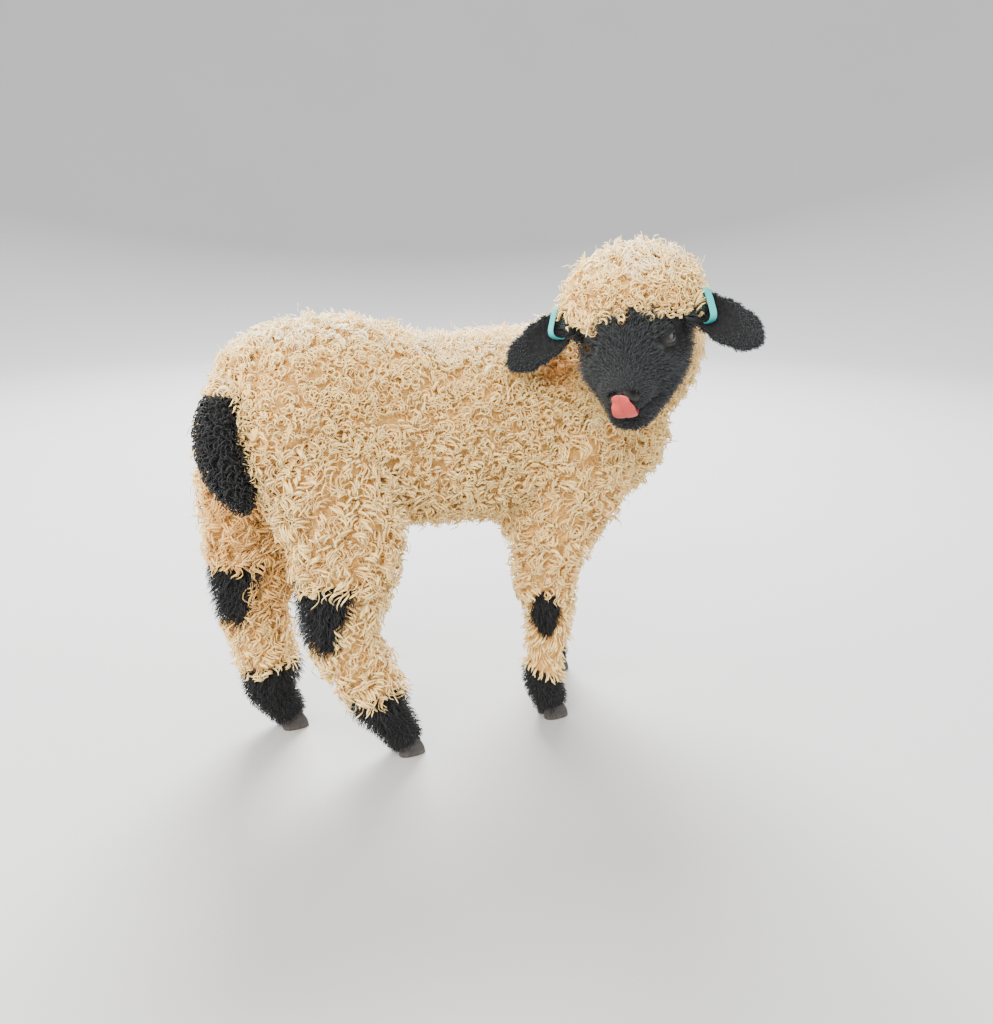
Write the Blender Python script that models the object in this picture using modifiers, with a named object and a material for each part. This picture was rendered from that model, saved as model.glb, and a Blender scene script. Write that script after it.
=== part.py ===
"""A Valais blacknose lamb, life size, standing square on its hooves with its head turned back to its right.

The lamb faces +X with its left side at +Y and up at +Z, in metres. Its body is modelled whole, as lofts through
named cross sections with rounded clumps of fleece on them, and is then parted by thin flat cuts into torso,
neck, head and legs. Pieces of the head are made in the head's own frame, with +X to the nose and +Z to the crown.
"""

import math
import random
from collections import namedtuple

import bmesh
import bpy
import numpy as np
from mathutils import Matrix, Vector

# Space left between neighbouring pieces
GAP = 0.0003

# Driving sizes of the lamb
TRUNK_REAR = -0.216
TRUNK_FRONT = 0.292
BACK_HEIGHT = 0.444
BELLY_HEIGHT = 0.278
CHEST_HALF_WIDTH = 0.078
HOCK_HEIGHT = 0.165
KNEE_HEIGHT = 0.130
CLAW_HEIGHT = 0.024
CLAW_SPREAD = 0.0089
CLAW_FORWARD = 0.012
HEAD_LENGTH = 0.150
EYE_RADIUS = 0.0108
EAR_LENGTH = 0.112
EAR_THICKNESS = 0.0055
EAR_FACE = Vector((0.75, -0.32, 0.58))
TAG_HALF_LENGTH = 0.0175
TAG_HALF_DEPTH = 0.0145
TAG_TAPER = 0.38
TAG_BREADTH = 0.0072
TAG_THICKNESS = 0.0015
TAIL_LENGTH = 0.108
FLEECE = 0.026
RUMP_SWING = 0.024

# Share of the fleece's depth that the smooth core under the clumps takes up
CORE = 0.45
FACE_CORE = 0.75

# Distance between neighbouring clumps of fleece
TRUNK_CLUMPS = 0.074
NECK_CLUMPS = 0.070
LEG_CLUMPS = 0.057
TOPKNOT_CLUMPS = 0.050
TAIL_CLUMPS = 0.042

# Where the four feet stand, as (forward, left), and how far forward the joints of the hind legs are
FORE_RIGHT = (0.120, -0.058)
FORE_LEFT = (0.188, 0.054)
HIND_RIGHT = (-0.070, -0.060)
HIND_LEFT = (-0.170, 0.060)
HOCK_RIGHT = -0.129
HOCK_LEFT = -0.193
STIFLE_RIGHT = -0.118
STIFLE_LEFT = -0.184
HIP_RIGHT = -0.138
HIP_LEFT = -0.166

# The head's place between the ears, and its turn, droop and tilt
HEAD_CENTRE = Vector((0.171, -0.150, 0.475))
HEAD_TURN = math.radians(-130)
HEAD_DROOP = math.radians(21)
HEAD_TILT = math.radians(8.5)

CREAM = (0.72, 0.58, 0.38)
BLACK = (0.012, 0.011, 0.012)
HORN = (0.035, 0.030, 0.028)
PINK = (0.70, 0.26, 0.24)
TURQUOISE = (0.16, 0.62, 0.60)

# centre, half width, half height above and below the centre, and the fleece's depth there
Section = namedtuple("Section", "x y z wide up down coat")


def section(x, y, z, wide, up, down=None, coat=0.0):
    return Section(x, y, z, wide, up, up if down is None else down, coat)


def trunk_sections():
    """From the rump to the breast. Heights follow the line of the back and of the belly."""
    mid = (BACK_HEIGHT + BELLY_HEIGHT) / 2
    half = (BACK_HEIGHT - BELLY_HEIGHT) / 2
    width = CHEST_HALF_WIDTH
    rear = TRUNK_REAR
    front = TRUNK_FRONT
    return [
        section(rear, -RUMP_SWING, mid + 0.014, 0.022, 0.026, coat=FLEECE * 0.8),
        section(rear + 0.013, -RUMP_SWING * 0.92, mid + 0.015, 0.052, 0.050, coat=FLEECE),
        section(rear + 0.050, -RUMP_SWING * 0.60, mid + 0.021, width * 0.90, half * 0.92, coat=FLEECE),
        section(rear + 0.112, -RUMP_SWING * 0.16, mid + 0.018, width, half * 1.04, coat=FLEECE),
        section(rear + 0.190, 0, mid - 0.001, width * 1.02, half, coat=FLEECE),
        section(rear + 0.275, 0, mid - 0.006, width, half * 1.02, coat=FLEECE),
        section(rear + 0.355, 0, mid - 0.008, width * 0.93, half * 1.04, coat=FLEECE),
        section(rear + 0.420, 0, mid - 0.014, width * 0.82, half * 0.98, coat=FLEECE * 1.1),
        section(front - 0.036, 0, mid - 0.022, width * 0.64, half * 0.76, coat=FLEECE * 1.2),
        section(front - 0.008, 0, mid - 0.026, width * 0.40, half * 0.44, coat=FLEECE * 1.1),
        section(front, 0, mid - 0.026, width * 0.18, half * 0.20, coat=FLEECE),
    ]


def neck_sections():
    """From inside the shoulders, forward and up, then round to the right to the back of the skull."""
    back_of_skull = HEAD_CENTRE - head_frame().to_3x3().col[0] * 0.022
    return [
        section(0.120, 0.000, 0.362, 0.068, 0.068, coat=FLEECE),
        section(0.180, 0.002, 0.378, 0.066, 0.070, coat=FLEECE * 1.1),
        section(0.234, -0.002, 0.400, 0.060, 0.062, coat=FLEECE * 1.1),
        section(0.262, -0.028, 0.432, 0.052, 0.052, coat=FLEECE),
        section(0.248, -0.065, 0.463, 0.036, 0.043, coat=FLEECE * 0.75),
        section(0.219, -0.101, 0.488, 0.029, 0.035, coat=FLEECE * 0.7),
        section(*back_of_skull, 0.031, 0.033, coat=FLEECE * 0.65),
    ]


def fore_leg_sections(foot):
    """From inside the shoulder down to the pastern. `up` is the front of the leg and `down` its back."""
    x, y = foot
    inner = 0.012 if y < 0 else -0.012
    elbow = 0.082 + x * 0.45
    return [
        section(0.160, y + inner, 0.345, 0.040, 0.052, coat=FLEECE),
        section(0.156, y + inner * 0.5, 0.290, 0.036, 0.046, coat=FLEECE),
        section(elbow, y, 0.238, 0.028, 0.025, 0.034, coat=FLEECE * 0.9),
        section(x + 0.002, y, 0.188, 0.020, 0.020, 0.024, coat=FLEECE * 0.75),
        section(x + 0.007, y, KNEE_HEIGHT + 0.018, 0.0165, 0.019, coat=0.014),
        section(x + 0.007, y, KNEE_HEIGHT - 0.010, 0.0150, 0.017, coat=0.010),
        section(x + 0.003, y, 0.085, 0.0118, 0.0130, coat=0.009),
        section(x - 0.002, y, 0.058, 0.0135, 0.0150, coat=0.008),
        section(x + 0.004, y, 0.038, 0.0150, 0.0160, coat=0.006),
        section(x + 0.012, y, 0.018, 0.0160, 0.0165, coat=0.004),
    ]


def hind_leg_sections(foot, hip, stifle, hock):
    """From inside the hip by way of the stifle and the hock down to the pastern."""
    x, y = foot
    inner = 0.016 if y < 0 else -0.016
    reach = x - hock
    return [
        section(hip, y + inner, 0.366, 0.042, 0.050, coat=FLEECE),
        section((hip + stifle) / 2, y + inner * 0.4, 0.312, 0.042, 0.048, coat=FLEECE),
        section(stifle, y, 0.258, 0.035, 0.037, 0.038, coat=FLEECE),
        section(stifle * 0.4 + hock * 0.6, y, 0.208, 0.026, 0.028, coat=FLEECE),
        section(hock, y, HOCK_HEIGHT, 0.0190, 0.021, 0.023, coat=0.021),
        section(hock + reach * 0.16, y, 0.138, 0.0160, 0.018, 0.020, coat=0.022),
        section(hock + reach * 0.38, y, 0.110, 0.0140, 0.0150, coat=FLEECE * 0.9),
        section(hock + reach * 0.62, y, 0.080, 0.0145, 0.0150, coat=FLEECE * 0.85),
        section(x - 0.014, y, 0.058, 0.0155, 0.0165, coat=0.011),
        section(x - 0.002, y, 0.039, 0.0160, 0.0165, coat=0.008),
        section(x + 0.010, y, 0.018, 0.0165, 0.0170, coat=0.004),
    ]


def head_sections():
    """The skull and face in the head's own frame, with the origin between the ears. `coat` is the cheeks' fluff."""
    length = HEAD_LENGTH
    return [
        section(-0.046, 0, 0.000, 0.016, 0.018, coat=0.006),
        section(-0.034, 0, -0.002, 0.034, 0.032, coat=0.010),
        section(-0.010, 0, -0.004, 0.042, 0.040, coat=0.013),
        section(length * 0.11, 0, -0.006, 0.045, 0.042, 0.046, coat=0.015),
        section(length * 0.26, 0, -0.010, 0.044, 0.038, 0.044, coat=0.015),
        section(length * 0.40, 0, -0.012, 0.038, 0.031, 0.038, coat=0.012),
        section(length * 0.53, 0, -0.013, 0.0300, 0.0245, 0.028, coat=0.008),
        section(length * 0.64, 0, -0.014, 0.0250, 0.0195, 0.019, coat=0.004),
        section(length * 0.73, 0, -0.015, 0.0235, 0.0175, 0.017, coat=0.002),
        section(length * 0.79, 0, -0.016, 0.0185, 0.0140, 0.013, coat=0.001),
    ]


def cap_sections():
    """The topknot over the skull, in the head's own frame."""
    return [
        section(-0.055, 0, 0.030, 0.020, 0.018, coat=FLEECE),
        section(-0.043, 0, 0.029, 0.040, 0.026, coat=FLEECE),
        section(-0.019, 0, 0.027, 0.050, 0.028, coat=FLEECE),
        section(0.007, 0, 0.024, 0.050, 0.026, coat=FLEECE),
        section(0.027, 0, 0.021, 0.041, 0.024, coat=FLEECE * 0.9),
        section(0.037, 0, 0.021, 0.020, 0.014, coat=FLEECE * 0.7),
    ]


def tail_sections():
    """The tail from its root in the rump, arched back and hanging down a little to the right."""
    root = Vector((TRUNK_REAR + 0.022, -RUMP_SWING * 0.9, 0.416))
    return [
        section(root.x, root.y, root.z, 0.016, 0.013, coat=0.004),
        section(root.x - 0.022, root.y - 0.002, root.z - 0.003, 0.019, 0.013, coat=0.008),
        section(root.x - 0.038, root.y - 0.008, root.z - 0.022, 0.021, 0.011, coat=0.012),
        section(root.x - 0.041, root.y - 0.016, root.z - 0.050, 0.019, 0.010, coat=0.015),
        section(root.x - 0.036, root.y - 0.024, root.z - 0.078, 0.015, 0.009, coat=0.014),
        section(root.x - 0.026, root.y - 0.030, root.z - TAIL_LENGTH, 0.007, 0.006, coat=0.005),
    ]


def smooth_rows(rows, count):
    """Rows of numbers along a smooth curve through the given ones (Catmull-Rom), evenly spread in distance."""
    rows = np.array(rows, float)
    padded = np.vstack([2 * rows[0] - rows[1], rows, 2 * rows[-1] - rows[-2]])
    fine = []
    for i in range(1, len(padded) - 2):
        before, start, end, after = padded[i - 1 : i + 3]
        t = np.linspace(0, 1, 24, endpoint=False)[:, None]
        fine.append(
            0.5
            * (
                2 * start
                + (end - before) * t
                + (2 * before - 5 * start + 4 * end - after) * t**2
                + (3 * start - before - 3 * end + after) * t**3
            )
        )
    fine = np.vstack(fine + [rows[-1:]])
    steps = np.linalg.norm(np.diff(fine[:, :5], axis=0), axis=1)
    travelled = np.concatenate([[0], np.cumsum(steps)])
    wanted = np.linspace(0, travelled[-1], count)
    return np.column_stack([np.interp(wanted, travelled, column) for column in fine.T])


class Loft:
    """A closed tube through cross sections. `crown` is the direction that `up` points to, square to the path."""

    def __init__(self, sections, rings, crown, share=0.0, grow=0.0):
        self.rows = smooth_rows(sections, rings)
        self.sections = sections
        self.crown = np.array(crown, float)
        self.share = share
        self.grow = grow

    def frames(self):
        centres = self.rows[:, :3]
        along = np.gradient(centres, axis=0)
        along /= np.linalg.norm(along, axis=1)[:, None]
        side = np.cross(self.crown, along)
        side /= np.linalg.norm(side, axis=1)[:, None]
        return centres, along, side, np.cross(along, side)

    def ring_points(self, angles, share=None):
        """Points of every ring at the given angles, 0 to the left and 90 degrees to the crown."""
        share = self.share if share is None else share
        centres, _, side, up = self.frames()
        wide, above, below, coat = self.rows[:, 3:].T
        cos, sin = np.cos(angles), np.sin(angles)
        grown = coat * share + self.grow
        height = np.where(sin[None, :] > 0, above[:, None], below[:, None]) + grown[:, None]
        return (
            centres[:, None]
            + side[:, None] * ((wide + grown)[:, None] * cos)[..., None]
            + up[:, None] * (height * sin)[..., None]
        )

    def mesh(self, name, sides, domed=True):
        """Rings of `sides` points, closed by a point at each end, domed out or flat."""
        angles = np.arange(sides) * 2 * math.pi / sides
        rings = self.ring_points(angles)
        count = len(rings)
        _, along, _, _ = self.frames()
        reach = np.linalg.norm(rings[[0, -1], 0] - self.rows[[0, -1], :3], axis=1)
        reach = reach * 0.45 if domed else reach * 0
        ends = [self.rows[0, :3] - along[0] * reach[0], self.rows[-1, :3] + along[-1] * reach[1]]
        points = np.vstack([rings.reshape(-1, 3), ends])
        first, last = count * sides, count * sides + 1
        faces = []
        for j in range(sides):
            k = (j + 1) % sides
            faces.append((first, k, j))
            faces.append((last, (count - 1) * sides + j, (count - 1) * sides + k))
            for i in range(count - 1):
                low, high = i * sides, (i + 1) * sides
                faces.append((low + j, low + k, high + k, high + j))
        mesh = bpy.data.meshes.new(name)
        mesh.from_pydata([tuple(p) for p in points], [], faces)
        return mesh

    def depth_of(self, point):
        """How deep a point lies in the tube: 0 on the path, 1 on the surface, more outside."""
        centres, along, side, up = self.frames()
        offset = point - centres
        i = int(np.argmin(np.linalg.norm(offset, axis=1)))
        wide, above, below, coat = self.rows[i, 3:]
        grown = coat * self.share
        across = offset[i] @ side[i]
        rise = offset[i] @ up[i]
        height = (above if rise > 0 else below) + grown
        radius = (wide + grown + height) / 2
        return math.sqrt((across / (wide + grown)) ** 2 + (rise / height) ** 2 + (offset[i] @ along[i] / radius) ** 2)

    def clump_places(self, spacing, shortest_coat):
        """Staggered rows of places on the surface, each with its outward normal and the coat's depth there."""
        fine = Loft(self.sections, 200, self.crown, self.share)
        centres, along, _, _ = fine.frames()
        angles = np.linspace(0, 2 * math.pi, 73)
        rings = fine.ring_points(angles)
        coats = fine.rows[:, 6]
        row_gap = spacing * math.sqrt(3) / 2
        steps = np.linalg.norm(np.diff(rings, axis=0), axis=2).mean(axis=1)
        travelled = np.concatenate([[0], np.cumsum(steps)])
        places = []
        for n, distance in enumerate(np.arange(row_gap * 0.3, travelled[-1], row_gap)):
            i = int(np.searchsorted(travelled, distance))
            if coats[i] < shortest_coat:
                continue
            ring = rings[i]
            around = np.concatenate([[0], np.cumsum(np.linalg.norm(np.diff(ring, axis=0), axis=1))])
            number = max(3, round(around[-1] / spacing))
            for m in range(number):
                wanted = around[-1] * ((m + 0.5 * (n % 2)) / number)
                point = np.array([np.interp(wanted, around, column) for column in ring.T])
                ahead = np.array([np.interp(wanted + 0.002, around, column) for column in ring.T])
                normal = np.cross(ahead - point, along[i])
                normal /= np.linalg.norm(normal)
                places.append((Vector(point), Vector(normal), float(coats[i])))
        return places

    def end_place(self):
        """The same for the middle of the rounded far end."""
        _, along, _, _ = self.frames()
        way = Vector(along[-1])
        coat = float(self.rows[-1, 6])
        return Vector(self.rows[-1, :3]) + way * coat * self.share, way, coat


def head_frame():
    """The matrix from the head's own frame to the lamb's: turned about Z, drooped at the nose and tilted."""
    turn = Matrix.Rotation(HEAD_TURN, 4, "Z")
    droop = Matrix.Rotation(HEAD_DROOP, 4, "Y")
    tilt = Matrix.Rotation(HEAD_TILT, 4, "X")
    return Matrix.Translation(HEAD_CENTRE) @ turn @ droop @ tilt


def clear_scene():
    for thing in list(bpy.data.objects):
        bpy.data.objects.remove(thing)


def new_collection(name):
    group = bpy.data.collections.new(name)
    bpy.context.scene.collection.children.link(group)
    return group


def new_object(name, mesh, group, matrix=None):
    thing = bpy.data.objects.new(name, mesh)
    group.objects.link(thing)
    if matrix is not None:
        thing.matrix_world = matrix
    return thing


def paint(thing, colour, roughness, metallic=0.0):
    material = bpy.data.materials.new(thing.name)
    material.use_nodes = True
    shader = material.node_tree.nodes["Principled BSDF"]
    shader.inputs["Base Color"].default_value = (*colour, 1)
    shader.inputs["Roughness"].default_value = roughness
    shader.inputs["Metallic"].default_value = metallic
    thing.data.materials.clear()
    thing.data.materials.append(material)


def ellipsoid(name, group, centre, radii, turned=None, frame=None, around=6, rings=4):
    """A closed ellipsoid with its third radius along the local Z of `turned`."""
    bm = bmesh.new()
    bmesh.ops.create_uvsphere(bm, u_segments=around, v_segments=rings, radius=1)
    placed = Matrix.Translation(centre) @ (turned or Matrix.Identity(4)) @ Matrix.Diagonal((*radii, 1))
    bm.transform((frame or Matrix.Identity(4)) @ placed)
    mesh = bpy.data.meshes.new(name)
    bm.to_mesh(mesh)
    bm.free()
    return new_object(name, mesh, group)


def bake_modifiers(thing):
    bpy.context.view_layer.update()
    graph = bpy.context.evaluated_depsgraph_get()
    mesh = bpy.data.meshes.new_from_object(thing.evaluated_get(graph))
    thing.modifiers.clear()
    thing.data = mesh


def combine(thing, operation, other):
    """Applies a Boolean with another object, or with all the closed meshes of a collection."""
    step = thing.modifiers.new("combine", "BOOLEAN")
    step.operation = operation
    step.solver = "MANIFOLD"
    if isinstance(other, bpy.types.Collection):
        step.operand_type = "COLLECTION"
        step.collection = other
    else:
        step.object = other
    bake_modifiers(thing)


def keep_largest_surface(thing):
    """Leaves only the closed surface that holds the most space."""
    bm = bmesh.new()
    bm.from_mesh(thing.data)
    waiting = set(bm.faces)
    surfaces = []
    while waiting:
        reached = [waiting.pop()]
        for face in reached:
            for edge in face.edges:
                for neighbour in edge.link_faces:
                    if neighbour in waiting:
                        waiting.remove(neighbour)
                        reached.append(neighbour)
        surfaces.append(reached)

    def space_in(faces):
        total = 0.0
        for face in faces:
            first, *others = [v.co for v in face.verts]
            for second, third in zip(others, others[1:]):
                total += first.dot(second.cross(third)) / 6
        return total

    surfaces.sort(key=space_in)
    dropped = [face for surface in surfaces[:-1] for face in surface]
    bmesh.ops.delete(bm, geom=dropped, context="FACES")
    bm.to_mesh(thing.data)
    bm.free()


def remove_collection(group):
    for thing in list(group.objects):
        bpy.data.objects.remove(thing)
    bpy.data.collections.remove(group)


def region(name, group, planes, frame=None, grow=0.0):
    """The part of space on the inner side of every plane. A plane is a point and its inward normal."""
    bm = bmesh.new()
    bmesh.ops.create_cube(bm, size=2.0)
    for point, normal in planes:
        normal = Vector(normal).normalized()
        everything = bm.verts[:] + bm.edges[:] + bm.faces[:]
        cut = bmesh.ops.bisect_plane(
            bm, geom=everything, plane_co=Vector(point) - normal * grow, plane_no=normal, clear_inner=True
        )
        rim = [e for e in cut["geom_cut"] if isinstance(e, bmesh.types.BMEdge)]
        bmesh.ops.edgeloop_fill(bm, edges=rim)
    bmesh.ops.recalc_face_normals(bm, faces=bm.faces)
    bm.transform(frame or Matrix.Identity(4))
    mesh = bpy.data.meshes.new(name)
    bm.to_mesh(mesh)
    bm.free()
    return new_object(name, mesh, group)


def add_clumps(loft, group, dice, spacing, clear_of=(), frame=None, shortest_coat=0.014, far_end=False):
    """Rounded clumps of fleece, their roots sunk in the core and their tops at the coat's full depth."""
    frame = frame or Matrix.Identity(4)
    places = loft.clump_places(spacing, shortest_coat)
    if far_end:
        places.append(loft.end_place())
    for point, normal, coat in places:
        if any(other.depth_of(np.array(frame @ point)) < 0.8 for other in clear_of):
            continue
        spread = spacing * 0.62 * dice.uniform(0.92, 1.08)
        thick = max(coat * 0.62, spread * 0.5)
        top = coat * (1 - loft.share) * dice.uniform(0.88, 1.12)
        turned = normal.to_track_quat("Z", "Y").to_matrix().to_4x4()
        turned = turned @ Matrix.Rotation(dice.uniform(0, math.pi), 4, "Z")
        centre = point + normal * (top - thick)
        ellipsoid("clump", group, centre, (spread, spread * dice.uniform(0.9, 1.05), thick), turned, frame)


def body_lofts():
    """The smooth cores of trunk, neck and legs, in the lamb's frame."""
    legs = {
        "leg_front_right": Loft(fore_leg_sections(FORE_RIGHT), 13, (1, 0, 0), CORE),
        "leg_front_left": Loft(fore_leg_sections(FORE_LEFT), 13, (1, 0, 0), CORE),
        "leg_hind_right": Loft(
            hind_leg_sections(HIND_RIGHT, HIP_RIGHT, STIFLE_RIGHT, HOCK_RIGHT), 15, (1, 0, 0), CORE
        ),
        "leg_hind_left": Loft(
            hind_leg_sections(HIND_LEFT, HIP_LEFT, STIFLE_LEFT, HOCK_LEFT), 15, (1, 0, 0), CORE
        ),
    }
    trunk = Loft(trunk_sections(), 14, (0, 0, 1), CORE)
    neck = Loft(neck_sections(), 9, (-1, 0, 0.5), CORE)
    return trunk, neck, legs


def build_whole(group):
    """The whole animal without tail, ears, claws and tongue, as one closed surface."""
    pieces = new_collection("fleece_and_cores")
    dice = random.Random(11)
    trunk, neck, legs = body_lofts()
    head_place = head_frame()
    head = Loft(head_sections(), 15, (0, 0, 1), FACE_CORE)
    cap = Loft(cap_sections(), 8, (0, 0, 1), CORE)
    whole = new_object("whole", trunk.mesh("whole", 20), group)
    new_object("neck_core", neck.mesh("neck_core", 16), pieces)
    for name, leg in legs.items():
        new_object(name + "_core", leg.mesh(name + "_core", 12), pieces)
    new_object("head_core", head.mesh("head_core", 18), pieces, head_place)
    new_object("cap_core", cap.mesh("cap_core", 16), pieces, head_place)
    new_object("jaw_core", jaw_loft().mesh("jaw_core", 12), pieces, head_place)
    add_clumps(trunk, pieces, dice, TRUNK_CLUMPS, [neck, *legs.values()], far_end=True)
    add_clumps(neck, pieces, dice, NECK_CLUMPS, [trunk])
    for leg in legs.values():
        add_clumps(leg, pieces, dice, LEG_CLUMPS, [trunk])
    add_clumps(cap, pieces, random.Random(12), TOPKNOT_CLUMPS, frame=head_place)
    combine(whole, "UNION", pieces)
    remove_collection(pieces)
    keep_largest_surface(whole)
    return whole


def jaw_loft():
    """Lower jaw, chin and lower lip."""
    length = HEAD_LENGTH
    return Loft(
        [
            section(length * 0.10, 0, -0.040, 0.037, 0.018),
            section(length * 0.34, 0, -0.044, 0.032, 0.018, 0.016),
            section(length * 0.56, 0, -0.045, 0.023, 0.015, 0.013),
            section(length * 0.70, 0, -0.044, 0.018, 0.0125, 0.011),
        ],
        8,
        (0, 0, 1),
        grow=0.001,
    )


def claw_loft(grow=0.0):
    """One claw of a cloven foot, toe forward, from its flat sole up to the coronet."""
    top = CLAW_HEIGHT - GAP
    return Loft(
        [
            section(0, 0, 0, 0.0078, 0.0185, 0.0130),
            section(0, 0, top * 0.35, 0.0080, 0.0165, 0.0135),
            section(0, 0, top * 0.70, 0.0078, 0.0120, 0.0140),
            section(0, 0, top, 0.0070, 0.0070, 0.0140),
        ],
        4,
        (1, 0, 0),
        grow=grow,
    )


def ear_rows(count):
    """Along an ear on the left: place, half width and depth of its cup, from the root in the skull to the tip."""
    root = Vector((-0.003, 0.032, 0.026))
    base = Vector((0.005, 0.062, 0.022))
    lean = Vector((0.53, 0.78, -0.345)).normalized()
    reach = EAR_LENGTH - (base - root).length
    rows = [(*root, 0.012, 0.012)]
    for share, half_width, cup in ((0, 0.014, 0.012), (0.3, 0.0195, 0.010), (0.6, 0.0205, 0.006), (0.85, 0.0165, 0.003)):
        rows.append((*(base + lean * reach * share), half_width, cup))
    rows.append((*(base + lean * reach), 0.008, 0.001))
    return smooth_rows(rows, count)


def ear_face(along):
    """The way a left ear's hollow side faces, square to the ear's length."""
    return (EAR_FACE - along * along.dot(EAR_FACE)).normalized()


def ear_point(row, along, across):
    """A point of a left ear: `across` runs from -1 at its lower edge to 1 at its upper edge."""
    face = ear_face(along)
    cup = row[4] * (1 - across**2)
    return Vector(row[:3]) + face.cross(along) * row[3] * across - face * cup


def ear_mesh(name, side_sign, grow=0.0):
    """The open surface of a cupped leaf, which Solidify thickens."""
    rows = ear_rows(9)
    steps = np.gradient(rows[:, :3], axis=0)
    rows[:, 3] += grow
    rows[0, :3] -= steps[0] / np.linalg.norm(steps[0]) * grow
    rows[-1, :3] += steps[-1] / np.linalg.norm(steps[-1]) * grow
    columns = 5
    points = []
    for row, step in zip(rows, steps):
        along = Vector(step).normalized()
        for across in np.linspace(-1, 1, columns):
            points.append(ear_point(row, along, across))
    faces = []
    for i in range(len(rows) - 1):
        for j in range(columns - 1):
            a = i * columns + j
            faces.append((a, a + columns, a + columns + 1, a + 1))
    points = [(p.x, p.y * side_sign, p.z) for p in points]
    if side_sign < 0:
        faces = [face[::-1] for face in faces]
    mesh = bpy.data.meshes.new(name)
    mesh.from_pydata(points, [], faces)
    return mesh


def make_ear(name, side_sign, group, frame, grow=0.0):
    ear = new_object(name, ear_mesh(name, side_sign, grow), group, frame)
    shell = ear.modifiers.new("thickness", "SOLIDIFY")
    shell.thickness = EAR_THICKNESS + 2 * grow
    shell.offset = 0
    bake_modifiers(ear)
    return ear


def make_tag(name, side_sign, group, frame, grow=0.0):
    """A band tag: a flat loop through a hole in the middle of the ear and round its upper edge, bowed to the tip.

    The loop is drop-shaped: TAG_TAPER makes it shallower at the ear's edge than at the hole.
    """
    rows = ear_rows(11)
    steps = np.gradient(rows[:, :3], axis=0)
    place = Vector(rows[4, :3])
    along = Vector(steps[4]).normalized()
    face = ear_face(along)
    upward = face.cross(along)
    length_way = (upward - along).normalized()
    depth_way = (face * math.sqrt(2) + along + upward).normalized()
    broad_way = depth_way.cross(length_way)
    centre = place + upward * 0.0045 - along * 0.001
    loop = bmesh.new()
    count = 14
    rims = []
    for i in range(count):
        angle = 2 * math.pi * i / count
        run = math.copysign(abs(math.cos(angle)) ** 0.75, math.cos(angle)) * TAG_HALF_LENGTH
        rise = math.copysign(abs(math.sin(angle)) ** 0.75, math.sin(angle)) * TAG_HALF_DEPTH
        rise *= 1 - TAG_TAPER - TAG_TAPER * math.cos(angle)
        middle = centre + length_way * run + depth_way * rise
        rims.append([
            loop.verts.new(middle + broad_way * (TAG_BREADTH / 2 + grow) * end) for end in (-1, 1)
        ])
    for i in range(count):
        near, far = rims[i], rims[(i + 1) % count]
        loop.faces.new((near[0], far[0], far[1], near[1]))
    if side_sign < 0:
        bmesh.ops.scale(loop, vec=(1, -1, 1), verts=loop.verts)
    bmesh.ops.recalc_face_normals(loop, faces=loop.faces)
    mesh = bpy.data.meshes.new(name)
    loop.to_mesh(mesh)
    loop.free()
    tag = new_object(name, mesh, group, frame)
    shell = tag.modifiers.new("thickness", "SOLIDIFY")
    shell.thickness = TAG_THICKNESS + 2 * grow
    shell.offset = 0
    bake_modifiers(tag)
    return tag


def tongue_loft(grow=0.0):
    """Out of the mouth, then up in front of the upper lip with its tip a little to the right."""
    aside = -0.0020
    lip = HEAD_LENGTH * 0.79
    return Loft(
        [
            section(lip - 0.040, 0, -0.0335, 0.0085, 0.0022),
            section(lip - 0.016, 0, -0.0330, 0.0095, 0.0024),
            section(lip + 0.000, 0, -0.0318, 0.0106, 0.0026),
            section(lip + 0.0102, 0, -0.0262, 0.0115, 0.0027),
            section(lip + 0.0125, aside * 0.3, -0.0162, 0.0115, 0.0026),
            section(lip + 0.0120, aside, -0.0082, 0.0100, 0.0022),
        ],
        9,
        (-0.45, 0, 0.9),
        grow=grow,
    )


def eye_places():
    """Centre and line of sight of each eye, in the head's frame."""
    places = {}
    for name, side_sign in (("left", 1), ("right", -1)):
        centre = Vector((HEAD_LENGTH * 0.30, side_sign * 0.0345, 0.007))
        sight = Vector((0.38, side_sign * 0.90, 0.16)).normalized()
        places[name] = (centre, sight)
    return places


def shape_face(head, frame):
    """Cuts the eye sockets with their almond openings, the nostrils and the line of the mouth."""
    tools = new_collection("face_cutters")
    for name, (centre, sight) in eye_places().items():
        side_sign = 1 if name == "left" else -1
        socket_radius = EYE_RADIUS + GAP
        ellipsoid("socket", tools, centre, (socket_radius,) * 3, frame=frame, around=12, rings=8)
        turned = sight.to_track_quat("Z", "X").to_matrix().to_4x4()
        ahead = centre + sight * EYE_RADIUS * 1.35
        ellipsoid("opening", tools, ahead, (0.0065, 0.0105, 0.0120), turned, frame, around=12, rings=8)
        nostril = Vector((HEAD_LENGTH * 0.80, side_sign * 0.0100, -0.009))
        slant = Matrix.Rotation(side_sign * math.radians(35), 4, "X")
        ellipsoid("nostril", tools, nostril, (0.0070, 0.0048, 0.0026), slant, frame, around=10, rings=6)
    mouth = Vector((HEAD_LENGTH * 0.80, 0, -0.0330))
    ellipsoid("mouth", tools, mouth, (0.036, 0.040, 0.0022), None, frame, around=20, rings=4)
    combine(head, "DIFFERENCE", tools)
    remove_collection(tools)


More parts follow.
